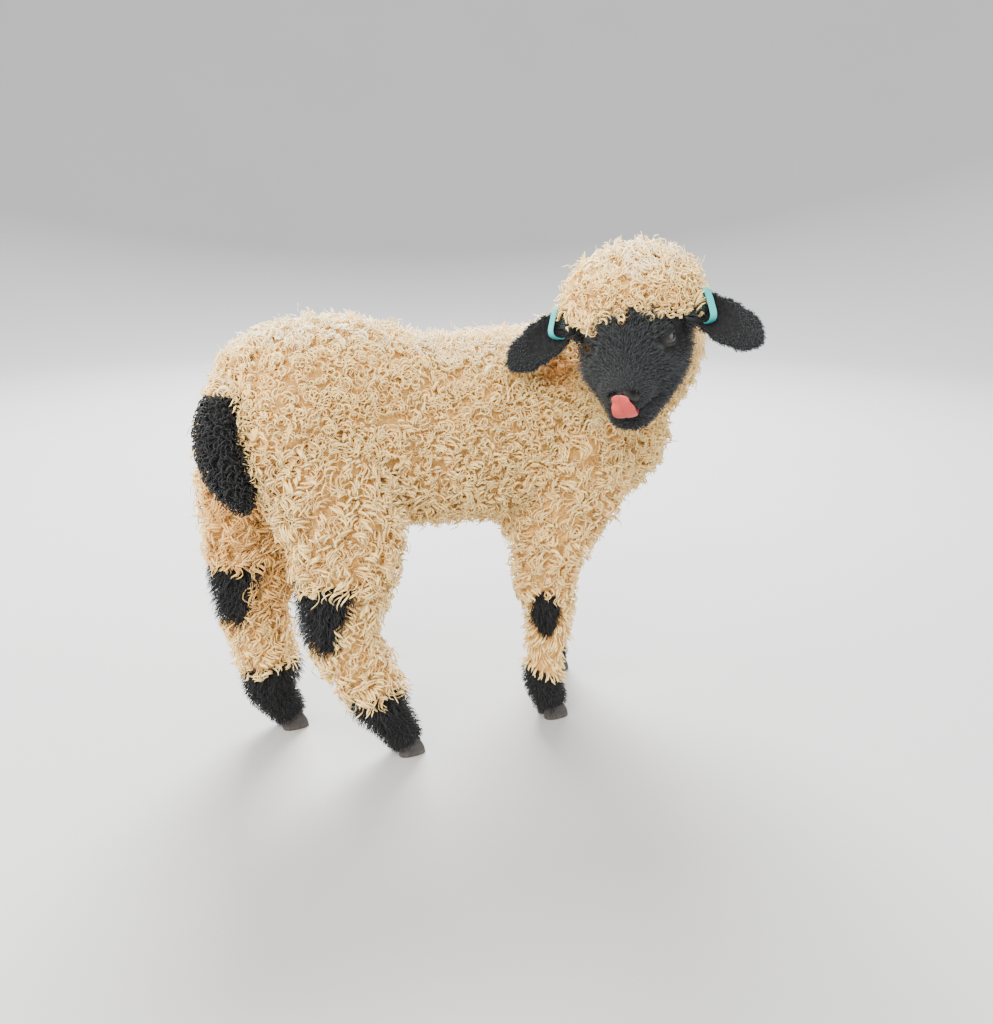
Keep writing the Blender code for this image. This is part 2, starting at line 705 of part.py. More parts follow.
def leg_planes(name, lofts):
    """The sides of the space that a leg fills: midline, top, front, rear and the coronet below."""
    side_sign = 1 if name.endswith("left") else -1
    rows = lofts[name].sections
    upper = rows[2]
    if "front" in name:
        rear = (upper.x - 0.070, 0, 0.24)
        front = (max(upper.x, rows[3].x) + 0.066, 0, 0.24)
        top = (upper.x, side_sign * 0.035, 0.258)
        rear_normal, front_normal = (1, 0, 0.25), (-1, 0, 0.25)
    else:
        rear = (-0.300, 0, 0.24)
        front = (rows[1].x + 0.138, 0, 0.27)
        top = (upper.x, side_sign * 0.035, 0.268)
        rear_normal, front_normal = (1, 0, 0), (-1, 0, 0.04)
    return [
        ((0, side_sign * 0.0012, 0), (0, side_sign, 0)),
        (top, (0, side_sign * 0.52, -0.85)),
        (rear, rear_normal),
        (front, front_normal),
        ((0, 0, CLAW_HEIGHT), (0, 0, 1)),
    ]


def head_planes():
    """The head's share of the whole: ahead of the nape and above the throat."""
    throat = (0.004, 0, -0.060)
    return [
        (throat, (0.90, 0, 0.43)),
        (throat, (0.14, 0, 1.0)),
        ((0, 0.090, 0.03), (0, -0.95, 0.31)),
        ((0, -0.090, 0.03), (0, 0.95, 0.31)),
        ((0.19, 0, 0), (-1, 0, 0)),
        ((0, 0, 0.14), (0, 0, -1)),
    ]


def topknot_planes():
    """The cap of fleece over the skull, above the hairline and the roots of the ears."""
    return [*head_planes(), ((0.042, 0, 0.031), (-0.20, 0, 0.98))]


def neck_planes():
    return [((0.195, 0, 0.420), (0.50, 0, 0.87))]


def part_whole(whole, group, guides, lofts, frame):
    """Parts the whole with flat cuts a gap wide, and returns the pieces by name."""
    shares = {name: (leg_planes(name, lofts), None) for name in lofts}
    shares["neck"] = (neck_planes(), None)
    shares["head"] = (head_planes(), frame)
    shares["topknot"] = (topknot_planes(), frame)
    taken_from = {"head": ("torso", "neck"), "topknot": ("head",)}
    pieces = {}
    for name in [*shares, "torso"]:
        pieces[name] = new_object(name, whole.data.copy(), group)
    for name, (planes, place) in shares.items():
        inner = region(name + "_share", guides, planes, place)
        combine(pieces[name], "INTERSECT", inner)
        bpy.data.objects.remove(inner)
        outer = region(name + "_room", guides, planes, place, grow=GAP)
        for other in taken_from.get(name, ("torso",)):
            combine(pieces[other], "DIFFERENCE", outer)
        bpy.data.objects.remove(outer)
    for piece in pieces.values():
        keep_largest_surface(piece)
    return pieces


def cut_room(thing, cutter):
    """Takes a slightly grown neighbour away from a piece."""
    combine(thing, "DIFFERENCE", cutter)
    bpy.data.objects.remove(cutter)


def make_tail(name, group, grow=0.0):
    loft = Loft(tail_sections(), 8, (-1, 0, 0.3), 0.5, grow)
    tail = new_object(name, loft.mesh(name, 10), group)
    pieces = new_collection("tail_clumps")
    add_clumps(loft, pieces, random.Random(5), TAIL_CLUMPS, shortest_coat=0.007)
    if grow:
        for clump in pieces.objects:
            centre = sum((v.co for v in clump.data.vertices), Vector()) / len(clump.data.vertices)
            for vertex in clump.data.vertices:
                vertex.co += (vertex.co - centre).normalized() * grow * 3
    combine(tail, "UNION", pieces)
    remove_collection(pieces)
    keep_largest_surface(tail)
    return tail


def make_claws(group):
    """Two claws under each leg, toes slightly apart."""
    feet = {
        "front_right": FORE_RIGHT,
        "front_left": FORE_LEFT,
        "hind_right": HIND_RIGHT,
        "hind_left": HIND_LEFT,
    }
    mesh = claw_loft().mesh("claw", 10, domed=False)
    claws = []
    for foot, (x, y) in feet.items():
        for place, shift in (("inner", -1), ("outer", 1)):
            outward = shift * (1 if y > 0 else -1)
            claw = new_object(f"claw_{foot}_{place}", mesh.copy(), group)
            claw.location = (x + CLAW_FORWARD, y + outward * CLAW_SPREAD, 0)
            claw.rotation_euler = (0, 0, outward * math.radians(3))
            claws.append(claw)
    return claws


def main():
    clear_scene()
    group = new_collection("valais_blacknose_lamb")
    guides = new_collection("cutters")
    frame = head_frame()
    _, _, legs = body_lofts()
    whole = build_whole(guides)
    pieces = part_whole(whole, group, guides, legs, frame)
    bpy.data.objects.remove(whole)
    for name in ("torso", "neck", "topknot", *legs):
        paint(pieces[name], CREAM, 0.95)

    tail = make_tail("tail", group)
    paint(tail, BLACK, 0.95)
    cut_room(pieces["torso"], make_tail("tail_room", guides, GAP * 2))

    head = pieces["head"]
    topknot = pieces["topknot"]
    shape_face(head, frame)
    tongue = new_object("tongue", tongue_loft().mesh("tongue", 10), group, frame)
    paint(tongue, PINK, 0.4)
    cut_room(head, new_object("tongue_room", tongue_loft(GAP).mesh("tongue_room", 10), guides, frame))
    for name, side_sign in (("left", 1), ("right", -1)):
        ear = make_ear("ear_" + name, side_sign, group, frame)
        tag = make_tag("ear_tag_" + name, side_sign, group, frame)
        for other in (head, topknot):
            cut_room(other, make_ear("ear_room", side_sign, guides, frame, GAP * 3))
        for other in (ear, head, topknot):
            cut_room(other, make_tag("tag_room", side_sign, guides, frame, GAP))
        keep_largest_surface(ear)
        paint(ear, BLACK, 0.95)
        paint(tag, TURQUOISE, 0.4)
        centre, sight = eye_places()[name]
        eye = ellipsoid("eye_" + name, group, Vector(), (EYE_RADIUS,) * 3, around=12, rings=8)
        eye.matrix_world = frame @ Matrix.Translation(centre)
        paint(eye, (0.02, 0.012, 0.008), 0.1)
    keep_largest_surface(head)
    keep_largest_surface(topknot)
    paint(head, BLACK, 0.95)
    keep_largest_surface(pieces["torso"])
    for claw in make_claws(group):
        paint(claw, HORN, 0.5)

    for thing in group.objects:
        if thing.name.startswith(("eye", "claw", "tongue")):
            thing.data.shade_smooth()
    centre_on_origin(group)


def centre_on_origin(group):
    """Hangs every piece on one empty, moved so that the lamb stands on its bounding box's bottom centre."""
    bpy.context.view_layer.update()
    points = [thing.matrix_world @ vertex.co for thing in group.objects for vertex in thing.data.vertices]
    low = [min(point[i] for point in points) for i in range(3)]
    high = [max(point[i] for point in points) for i in range(3)]
    lamb = new_object("lamb", None, group)
    for thing in group.objects:
        if thing is not lamb:
            thing.parent = lamb
    lamb.location = (-(low[0] + high[0]) / 2, -(low[1] + high[1]) / 2, -low[2])


if __name__ == "__main__":
    main()
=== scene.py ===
"""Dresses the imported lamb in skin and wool.

It gets one seamless skin, a fleece of solid curls, short black wool, eyes, a tongue, claws and ear tags. The
body's sections are those of the solids, in metres, with the lamb facing +X. They are given in the lamb's own
layout and are shifted so that the eyes fall where the frame has them.
"""

import math

import bmesh
import bpy
import numpy as np
from bpy.props import FloatProperty, FloatVectorProperty, PointerProperty
from mathutils import Matrix, Vector


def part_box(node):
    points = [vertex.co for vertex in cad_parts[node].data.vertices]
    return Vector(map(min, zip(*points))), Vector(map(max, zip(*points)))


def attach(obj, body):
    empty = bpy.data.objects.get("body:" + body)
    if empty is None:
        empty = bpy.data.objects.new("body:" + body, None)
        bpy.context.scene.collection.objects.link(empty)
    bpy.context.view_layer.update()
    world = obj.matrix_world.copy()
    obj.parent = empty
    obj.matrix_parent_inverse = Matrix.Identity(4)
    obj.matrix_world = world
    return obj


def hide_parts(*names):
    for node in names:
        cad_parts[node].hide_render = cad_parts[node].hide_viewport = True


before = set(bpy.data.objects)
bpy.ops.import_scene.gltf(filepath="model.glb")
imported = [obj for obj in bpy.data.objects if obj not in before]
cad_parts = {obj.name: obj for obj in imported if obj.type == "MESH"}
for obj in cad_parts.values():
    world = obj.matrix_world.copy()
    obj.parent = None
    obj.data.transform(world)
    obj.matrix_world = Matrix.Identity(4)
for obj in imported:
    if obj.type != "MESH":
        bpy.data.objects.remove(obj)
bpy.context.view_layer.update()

bl_info = {
    "name": "Curly Lamb",
    "version": (1, 0, 0),
    "blender": (4, 5, 0),
    "location": "3D View > Sidebar > Lamb",
    "description": "Skin, curled fleece, black wool and finishes for a life-size lamb",
    "category": "Object",
}

FLEECE = 0.026
SKIN_SHARE = 0.45
FOOT_PLACES = {
    "front_right": (0.120, -0.058),
    "front_left": (0.188, 0.054),
    "hind_right": (-0.070, -0.060),
    "hind_left": (-0.170, 0.060),
}
HIND_JOINTS = {"hind_right": (-0.138, -0.118, -0.129), "hind_left": (-0.166, -0.184, -0.193)}
KNEE_HEIGHT = 0.130
HOCK_HEIGHT = 0.165
CLAW_HEIGHT = 0.024
CLAW_SPREAD = 0.0089
CLAW_FORWARD = 0.012
HEAD_LENGTH = 0.150
EAR_LENGTH = 0.112
EAR_FACE = np.array((0.75, -0.32, 0.58))
EYE_RADIUS = 0.0108
EYE_CENTRE = np.array((HEAD_LENGTH * 0.30, 0.0345, 0.007))
EYE_SIGHT = np.array((0.38, 0.90, 0.16)) / math.sqrt(0.38**2 + 0.90**2 + 0.16**2)
IRIS_RADIUS = 0.0082
LID_HALF_WIDTH = 0.0080
LID_HALF_HEIGHT = 0.0040
NOSTRIL = (0.120, 0.0100, -0.0085)
NOSTRIL_SLANT = 35
MOUTH_HEIGHT = -0.0330
TAG_HALF_LENGTH = 0.0175
TAG_HALF_DEPTH = 0.0145
TAG_HALF_WIDTH = 0.0036
TAG_HALF_THICKNESS = 0.00075
GROWTH_RING = 0.0034
HEAD_CENTRE = np.array((0.171, -0.150, 0.475))

# Borders of the black markings, on the head in its own frame
TAIL_BLACK_BELOW = 0.414
HAIRLINE = (0.043, 0, 0.031)
UNDER_HAIRLINE = np.array((0.20, 0, -0.98))
CHEEK_EDGE = (-0.004, 0, -0.050)
AHEAD_OF_CHEEK = np.array((0.90, 0, 0.30))
FORE_FOOT_BLACK = 0.058
HIND_FOOT_BLACK = 0.085
KNEE_PATCH_HEIGHT = 0.140
KNEE_PATCH_RADIUS = 0.021
HOCK_PATCH_HEIGHT = 0.184
HOCK_PATCH_HALF_HEIGHT = 0.034

# Powers of 1 over the plastic number, whose multiples spread evenly over a square
EVEN_STEPS = (0.7548776662466927, 0.5698402909980532)
ROOT_SINK = 0.0012
COVERED_DEPTH = 0.0032
CURL_RINGS = 9
WISP_RINGS = 8
TUFT_RINGS = 3
EAR_WOOL_SPACING = 0.0017
FOOT_WOOL_SPACING = 0.0024
TAIL_WOOL_SPACING = 0.0036

# Where the trunk's fleece is parted, along the body, and the neck's, along a slanting line
TRUNK_CUTS = (-9, -0.10, 0.00, 0.11, 9)
NECK_CUT = 0.66

CAMERA_PLACE = (-0.429, -1.013, 0.585)
CAMERA_HEADING = (0.454, 0.891, 0.0)
CAMERA_PITCH = 16.5
CAMERA_LENS = 35.16
SKY = (0.86, 0.90, 0.95, 1.0)
SKY_STRENGTH = 1.75
LAMP_TARGET = (0.0, 0.0, 0.3)
LAMPS = (
    ("key", (-1.9, -2.0, 2.4), 2.2, 215, (1.0, 0.95, 0.86)),
    ("rim", (0.9, 2.3, 2.6), 1.8, 620, (0.97, 0.98, 1.0)),
    ("fill", (1.8, -2.2, 1.2), 2.4, 48, (1.0, 0.97, 0.93)),
    ("tail light", (-2.3, 0.7, 1.4), 1.6, 90, (1.0, 0.97, 0.92)),
)


def rotation(axis, degrees):
    return np.array(Matrix.Rotation(math.radians(degrees), 3, axis))


# Turned back to the right, drooped at the nose and tilted
HEAD_AXES = rotation("Z", -130) @ rotation("Y", 21) @ rotation("X", 8.5)
EYE_BOX = np.array(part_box("eye_left"), float)
SHIFT = EYE_BOX.mean(axis=0) - (HEAD_CENTRE + HEAD_AXES @ EYE_CENTRE)

# Middle of a warmer, darker orange patch in the wool below the right ear
UNDER_EAR_PATCH = tuple(np.array((0.122, -0.068, 0.430)) + SHIFT)


def unit(vectors):
    """Each vector over its own length."""
    return vectors / np.maximum(np.linalg.norm(vectors, axis=-1, keepdims=True), 1e-12)


def smoothstep(values, low, high):
    """0 below `low`, 1 above `high`, and the cubic 3t^2 - 2t^3 between."""
    t = np.clip((values - low) / (high - low), 0, 1)
    return t * t * (3 - 2 * t)


def bell(values, width):
    """A bell curve: 1 at 0 and 1/e at `width` from it."""
    return np.exp(-((values / width) ** 2))


def squared_off(wave, power):
    """A sine or cosine with fuller sides: its sign times its size to a power under 1."""
    return np.sign(wave) * np.abs(wave) ** power


def round_angles(count):
    return np.arange(count) * 2 * math.pi / count


def ripple(points, wavelength):
    """A wandering number between -1 and 1: the product and sum of sines along three skewed directions."""
    turns = points * (2 * math.pi / wavelength)
    a = turns @ np.array((0.9, 0.4, 0.3))
    b = turns @ np.array((-0.4, 0.8, 0.5))
    c = turns @ np.array((0.3, -0.5, 1.0))
    return (np.sin(a + 1.3 * np.sin(b)) + np.sin(b * 1.7 + c) + np.sin(c * 2.3 + 0.7 * np.sin(a * 1.9))) / 3


def row(x, y, z, wide, above, below=None, coat=0.0, cup=0.0):
    """A section: centre, half width, half height above and below, the coat's depth and an ear's hollow."""
    return (x, y, z, wide, above, above if below is None else below, coat, cup)


def trunk_rows():
    """From the rump to the breast."""
    deep = FLEECE
    return [
        row(-0.216, -0.0240, 0.375, 0.0220, 0.0260, coat=deep * 0.8),
        row(-0.203, -0.0221, 0.376, 0.0520, 0.0500, coat=deep),
        row(-0.166, -0.0144, 0.382, 0.0702, 0.0764, coat=deep),
        row(-0.104, -0.0038, 0.379, 0.0780, 0.0863, coat=deep),
        row(-0.026, 0.0, 0.360, 0.0796, 0.0830, coat=deep),
        row(0.059, 0.0, 0.355, 0.0780, 0.0847, coat=deep),
        row(0.139, 0.0, 0.353, 0.0725, 0.0863, coat=deep),
        row(0.204, 0.0, 0.347, 0.0640, 0.0813, coat=deep * 1.1),
        row(0.256, 0.0, 0.339, 0.0499, 0.0631, coat=deep * 1.2),
        row(0.284, 0.0, 0.335, 0.0312, 0.0365, coat=deep * 1.1),
        row(0.292, 0.0, 0.335, 0.0140, 0.0166, coat=deep),
    ]


def neck_rows():
    """From between the shoulders forward and up, and back round to the skull."""
    back_of_skull = HEAD_CENTRE - HEAD_AXES[:, 0] * 0.022
    return [
        row(0.120, 0.000, 0.362, 0.068, 0.068, coat=FLEECE),
        row(0.180, 0.002, 0.378, 0.066, 0.070, coat=FLEECE * 1.1),
        row(0.234, -0.002, 0.400, 0.060, 0.062, coat=FLEECE * 1.1),
        row(0.262, -0.028, 0.432, 0.052, 0.052, coat=FLEECE),
        row(0.248, -0.065, 0.463, 0.036, 0.043, coat=FLEECE * 0.75),
        row(0.219, -0.101, 0.488, 0.029, 0.035, coat=FLEECE * 0.7),
        row(*back_of_skull, 0.031, 0.033, coat=FLEECE * 0.65),
    ]


def fore_leg_rows(foot):
    """From the shoulder past the elbow and the knee to the foot."""
    x, y = foot
    inner = 0.012 if y < 0 else -0.012
    elbow = 0.082 + x * 0.45
    return [
        row(0.160, y + inner, 0.345, 0.040, 0.052, coat=FLEECE),
        row(0.156, y + inner * 0.5, 0.290, 0.036, 0.046, coat=FLEECE),
        row(elbow, y, 0.238, 0.028, 0.025, 0.034, coat=FLEECE * 0.9),
        row(x + 0.002, y, 0.188, 0.020, 0.020, 0.024, coat=FLEECE * 0.75),
        row(x + 0.007, y, KNEE_HEIGHT + 0.018, 0.0165, 0.019, coat=0.014),
        row(x + 0.007, y, KNEE_HEIGHT - 0.010, 0.0150, 0.017, coat=0.010),
        row(x + 0.003, y, 0.085, 0.0118, 0.0130, coat=0.009),
        row(x - 0.002, y, 0.058, 0.0135, 0.0150, coat=0.008),
        row(x + 0.004, y, 0.038, 0.0150, 0.0160, coat=0.006),
        row(x + 0.012, y, 0.018, 0.0160, 0.0165, coat=0.004),
    ]


def hind_leg_rows(foot, joints):
    """From the hip past the stifle and the hock to the foot."""
    x, y = foot
    hip, stifle, hock = joints
    inner = 0.016 if y < 0 else -0.016
    reach = x - hock
    return [
        row(hip, y + inner, 0.366, 0.042, 0.050, coat=FLEECE),
        row((hip + stifle) / 2, y + inner * 0.4, 0.312, 0.042, 0.048, coat=FLEECE),
        row(stifle, y, 0.258, 0.035, 0.037, 0.038, coat=FLEECE),
        row(stifle * 0.4 + hock * 0.6, y, 0.208, 0.026, 0.028, coat=FLEECE),
        row(hock, y, HOCK_HEIGHT, 0.0190, 0.021, 0.023, coat=0.021),
        row(hock + reach * 0.16, y, 0.138, 0.0160, 0.018, 0.020, coat=0.022),
        row(hock + reach * 0.38, y, 0.110, 0.0140, 0.0150, coat=FLEECE * 0.9),
        row(hock + reach * 0.62, y, 0.080, 0.0145, 0.0150, coat=FLEECE * 0.85),
        row(x - 0.014, y, 0.058, 0.0155, 0.0165, coat=0.011),
        row(x - 0.002, y, 0.039, 0.0160, 0.0165, coat=0.008),
        row(x + 0.010, y, 0.018, 0.0165, 0.0170, coat=0.004),
    ]


def tail_rows():
    """From the root over and down to the tip."""
    x, y, z = -0.194, -0.0216, 0.416
    return [
        row(x, y, z, 0.016, 0.013, coat=0.004),
        row(x - 0.022, y - 0.002, z - 0.003, 0.019, 0.013, coat=0.008),
        row(x - 0.038, y - 0.008, z - 0.022, 0.021, 0.011, coat=0.012),
        row(x - 0.041, y - 0.016, z - 0.050, 0.019, 0.010, coat=0.015),
        row(x - 0.036, y - 0.024, z - 0.078, 0.015, 0.009, coat=0.014),
        row(x - 0.026, y - 0.030, z - 0.108, 0.007, 0.006, coat=0.005),
    ]


def head_rows():
    """From the back of the skull to the muzzle, in the head's own frame."""
    length = HEAD_LENGTH
    return [
        row(-0.046, 0, 0.000, 0.016, 0.018, coat=0.006),
        row(-0.034, 0, -0.002, 0.034, 0.032, coat=0.010),
        row(-0.010, 0, -0.004, 0.042, 0.040, coat=0.013),
        row(length * 0.11, 0, -0.006, 0.045, 0.042, 0.046, coat=0.015),
        row(length * 0.26, 0, -0.010, 0.044, 0.038, 0.044, coat=0.015),
        row(length * 0.40, 0, -0.012, 0.038, 0.031, 0.038, coat=0.012),
        row(length * 0.53, 0, -0.013, 0.0300, 0.0245, 0.028, coat=0.008),
        row(length * 0.64, 0, -0.014, 0.0250, 0.0195, 0.019, coat=0.004),
        row(length * 0.73, 0, -0.015, 0.0235, 0.0175, 0.017, coat=0.002),
        row(length * 0.79, 0, -0.016, 0.0185, 0.0140, 0.013, coat=0.001),
    ]


def jaw_rows():
    """From the throat to the chin, in the head's own frame."""
    length = HEAD_LENGTH
    return [
        row(length * 0.10, 0, -0.040, 0.037, 0.018, coat=0.010),
        row(length * 0.34, 0, -0.044, 0.032, 0.018, 0.016, coat=0.009),
        row(length * 0.56, 0, -0.045, 0.023, 0.015, 0.013, coat=0.006),
        row(length * 0.70, 0, -0.044, 0.018, 0.0125, 0.011, coat=0.004),
    ]


def cap_rows():
    """The mop of wool on the crown from back to front, in the head's own frame."""
    return [
        row(-0.055, 0, 0.030, 0.020, 0.018, coat=FLEECE),
        row(-0.043, 0, 0.029, 0.040, 0.026, coat=FLEECE),
        row(-0.019, 0, 0.027, 0.050, 0.028, coat=FLEECE),
        row(0.007, 0, 0.024, 0.050, 0.026, coat=FLEECE),
        row(0.027, 0, 0.021, 0.041, 0.024, coat=FLEECE * 0.9),
        row(0.037, 0, 0.021, 0.020, 0.014, coat=FLEECE * 0.7),
    ]


def ear_rows(side_sign):
    """The leaf of an ear: half width, half thickness, short wool and the depth of its hollow."""
    root = np.array((-0.003, 0.032, 0.026))
    base = np.array((0.005, 0.062, 0.022))
    lean = unit(np.array((0.53, 0.78, -0.345)))
    reach = EAR_LENGTH - np.linalg.norm(base - root)
    rows = [row(*root, 0.012, 0.0030, coat=0.004, cup=0.012)]
    for share, half_width, cup in (
        (0, 0.014, 0.012),
        (0.3, 0.0195, 0.010),
        (0.6, 0.0205, 0.006),
        (0.85, 0.0165, 0.003),
    ):
        rows.append(row(*(base + lean * reach * share), half_width, 0.0026, coat=0.004, cup=cup))
    rows.append(row(*(base + lean * reach), 0.008, 0.0018, coat=0.003, cup=0.001))
    return [(r[0], r[1] * side_sign, *r[2:]) for r in rows]


def smooth_rows(rows, count):
    """Rows along a Catmull-Rom curve through the given ones, evenly spread by distance travelled."""
    rows = np.array(rows, float)
    padded = np.vstack([2 * rows[0] - rows[1], rows, 2 * rows[-1] - rows[-2]])
    before, start, end, after = padded[:-3], padded[1:-2], padded[2:-1], padded[3:]
    t = np.linspace(0, 1, 24, endpoint=False)[None, :, None]
    before, start, end, after = (rows[:, None] for rows in (before, start, end, after))
    fine = 0.5 * (
        2 * start
        + (end - before) * t
        + (2 * before - 5 * start + 4 * end - after) * t**2
        + (3 * start - before - 3 * end + after) * t**3
    )
    fine = np.vstack([fine.reshape(-1, rows.shape[1]), rows[-1:]])
    steps = np.linalg.norm(np.diff(fine[:, :5], axis=0), axis=1)
    travelled = np.concatenate([[0], np.cumsum(steps)])
    wanted = np.linspace(0, travelled[-1], count)
    return np.column_stack([np.interp(wanted, travelled, column) for column in fine.T])


class Tube:
    """A limb as a tube through its sections.

    A point is centre + side * (wide + g) * cos(a) + up * ((high + g) * sin(a) - cup * sin(a)^2). There g is
    the share of the coat's depth, high is the half height above or below, and `crown` is the way up.
    """

    def __init__(self, rows, crown, rings, in_head=False):
        fine = smooth_rows(rows, rings)
        centre = fine[:, :3]
        along = unit(np.gradient(centre, axis=0))
        side = unit(np.cross(np.array(crown, float), along))
        up = np.cross(along, side)
        if in_head:
            centre = centre @ HEAD_AXES.T + HEAD_CENTRE
            along, side, up = (vectors @ HEAD_AXES.T for vectors in (along, side, up))
        self.centre = centre + SHIFT
        self.along, self.side, self.up = along, side, up
        self.wide, self.above, self.below, self.coat, self.cup = fine[:, 3:].T

    def grid(self, share, columns, dome_rings=5):
        """Rings of points with domed ends: past an end the centre moves out by a sine, and the ring shrinks
        by the cosine.
        """
        last = len(self.centre) - 1
        curve = np.linspace(0, math.pi / 2, dome_rings + 1)[1:]
        which = np.concatenate([np.zeros(dome_rings, int), np.arange(last + 1), np.full(dome_rings, last)])
        shrink = np.concatenate([np.cos(curve)[::-1], np.ones(last + 1), np.cos(curve)])
        push = np.concatenate([-np.sin(curve)[::-1], np.zeros(last + 1), np.sin(curve)])
        grown = self.coat[which] * share
        wide = self.wide[which] + grown
        push = push * wide * 0.45
        angles = round_angles(columns)
        cos, sin = np.cos(angles)[None], np.sin(angles)[None]
        above, below = self.above[which] + grown, self.below[which] + grown
        high = np.where(sin > 0, above[:, None], below[:, None])
        across = (wide * shrink)[:, None] * cos
        rise = (high * sin - self.cup[which][:, None] * sin**2) * shrink[:, None]
        centre = self.centre[which] + self.along[which] * push[:, None]
        points = centre[:, None] + self.side[which][:, None] * across[..., None]
        points = points + self.up[which][:, None] * rise[..., None]
        return points, which

    def outside(self, points, share):
        """Roughly how far points are outside the surface, in metres, by the nearest of some forty rings."""
        pick = np.linspace(0, len(self.centre) - 1, min(40, len(self.centre))).astype(int)
        offset = points[:, None] - self.centre[pick][None]
        nearest = np.argmin((offset**2).sum(axis=2), axis=1)
        offset = offset[np.arange(len(points)), nearest]
        ring = pick[nearest]
        across = (offset * self.side[ring]).sum(axis=1)
        rise = (offset * self.up[ring]).sum(axis=1) + self.cup[ring] * 0.5
        ahead = (offset * self.along[ring]).sum(axis=1)
        grown = self.coat[ring] * share
        wide = self.wide[ring] + grown
        high = np.where(rise > 0, self.above[ring], self.below[ring]) + grown + self.cup[ring] * 0.5
        past_end = (ring == 0) | (ring == pick[-1])
        reach = np.where(past_end, wide * 0.45, wide + high)
        scaled = np.sqrt((across / wide) ** 2 + (rise / high) ** 2 + (ahead / reach) ** 2)
        return (scaled - 1) * np.minimum(wide, high)


def body_tubes():
    tubes = {
        "trunk": Tube(trunk_rows(), (0, 0, 1), 120),
        "neck": Tube(neck_rows(), (-1, 0, 0.5), 70),
        "tail": Tube(tail_rows(), (-1, 0, 0.3), 50),
        "head": Tube(head_rows(), (0, 0, 1), 90, in_head=True),
        "jaw": Tube(jaw_rows(), (0, 0, 1), 40, in_head=True),
        "cap": Tube(cap_rows(), (0, 0, 1), 60, in_head=True),
    }
    for name, place in FOOT_PLACES.items():
        rows = hind_leg_rows(place, HIND_JOINTS[name]) if "hind" in name else fore_leg_rows(place)
        tubes["leg_" + name] = Tube(rows, (1, 0, 0), 110)
    for name, side_sign in (("left", 1), ("right", -1)):
        crown = EAR_FACE * np.array((1, side_sign, 1))
        tubes["ear_" + name] = Tube(ear_rows(side_sign), crown, 50, in_head=True)
    return tubes


TUBES = body_tubes()


def to_head(points):
    """Places in the head's own frame, with +X to the nose and +Z to the crown."""
    return (points - SHIFT - HEAD_CENTRE) @ HEAD_AXES


def from_head(points):
    return points @ HEAD_AXES.T + HEAD_CENTRE + SHIFT


def darkness(part, points, spread=0.0):
    """1 where the wool is black and 0 where it is cream; `spread` moves the border out."""
    edge = ripple(points, 0.021) * 0.0045 + ripple(points, 0.055) * 0.004 + spread
    if part.startswith("ear"):
        return np.ones(len(points))
    own = points - SHIFT
    if part == "tail":
        return smoothstep(TAIL_BLACK_BELOW - own[:, 2] + edge, -0.001, 0.001)
    if part in ("head", "jaw", "cap"):
        place = to_head(points)
        under_hairline = (place - HAIRLINE) @ UNDER_HAIRLINE + edge
        under_hairline += 0.004 * bell(place[:, 1] - 0.004, 0.022)
        under_hairline -= 0.011 * bell(place[:, 1] + 0.033, 0.011)
        ahead_of_cheek = (place - CHEEK_EDGE) @ AHEAD_OF_CHEEK + edge
        return smoothstep(np.minimum(under_hairline, ahead_of_cheek), -0.002, 0.002)
    if not part.startswith("leg"):
        return np.zeros(len(points))
    x, y = FOOT_PLACES[part[4:]]
    if "front" in part:
        foot = FORE_FOOT_BLACK - own[:, 2] - 0.7 * (own[:, 0] - x) + edge
        outer = np.array((x - 0.009, y + math.copysign(0.021, y), KNEE_PATCH_HEIGHT))
        knee = KNEE_PATCH_RADIUS - np.linalg.norm((own - outer) * (1.25, 1.0, 0.72), axis=1) + edge * 0.5
        return smoothstep(np.maximum(foot, knee), -0.001, 0.001)
    hock = HIND_JOINTS[part[4:]][2]
    foot = HIND_FOOT_BLACK - own[:, 2] + 0.25 * (own[:, 0] - x + 0.02) + edge
    patch = HOCK_PATCH_HALF_HEIGHT - np.abs(own[:, 2] - HOCK_PATCH_HEIGHT) + edge
    patch = np.minimum(patch, hock - 0.009 + 0.25 * (own[:, 2] - 0.181) - own[:, 0] + edge)
    return smoothstep(np.maximum(foot, patch), -0.001, 0.001)


# Meshes


def new_mesh(name, points, loops, loop_starts):
    """Fills a mesh from whole arrays."""
    mesh = bpy.data.meshes.new(name)
    mesh.vertices.add(len(points))
    mesh.vertices.foreach_set("co", np.ascontiguousarray(points, np.float32).ravel())
    mesh.loops.add(len(loops))
    mesh.loops.foreach_set("vertex_index", loops.astype(np.int32))
    mesh.polygons.add(len(loop_starts))
    mesh.polygons.foreach_set("loop_start", loop_starts.astype(np.int32))
    mesh.update(calc_edges=True)
    mesh.shade_smooth()
    return mesh


def grid_mesh(name, grid, closed_along=False, capped=False):
    """Quads between neighbouring points of a grid; `capped` closes each end with one many-sided face."""
    rows, columns = grid.shape[:2]
    i = np.arange(rows if closed_along else rows - 1)[:, None]
    j = np.arange(columns)[None]
    here, next_row = i * columns, (i + 1) % rows * columns
    next_j = (j + 1) % columns
    quads = np.stack([here + j, here + next_j, next_row + next_j, next_row + j], axis=-1)
    loops = quads.reshape(-1)
    starts = np.arange(0, len(loops), 4)
    if capped:
        first = np.arange(columns)[::-1]
        last = np.arange(columns) + (rows - 1) * columns
        starts = np.concatenate([starts, [len(loops), len(loops) + columns]])
        loops = np.concatenate([loops, first, last])
    return new_mesh(name, grid.reshape(-1, 3), loops, starts)


def new_piece(name, data):
    thing = bpy.data.objects.new(name, data)
    bpy.context.scene.collection.objects.link(thing)
    return thing


def bake_modifiers(thing):
    bpy.context.view_layer.update()
    graph = bpy.context.evaluated_depsgraph_get()
    mesh = bpy.data.meshes.new_from_object(thing.evaluated_get(graph))
    thing.modifiers.clear()
    old = thing.data
    thing.data = mesh
    bpy.data.meshes.remove(old)


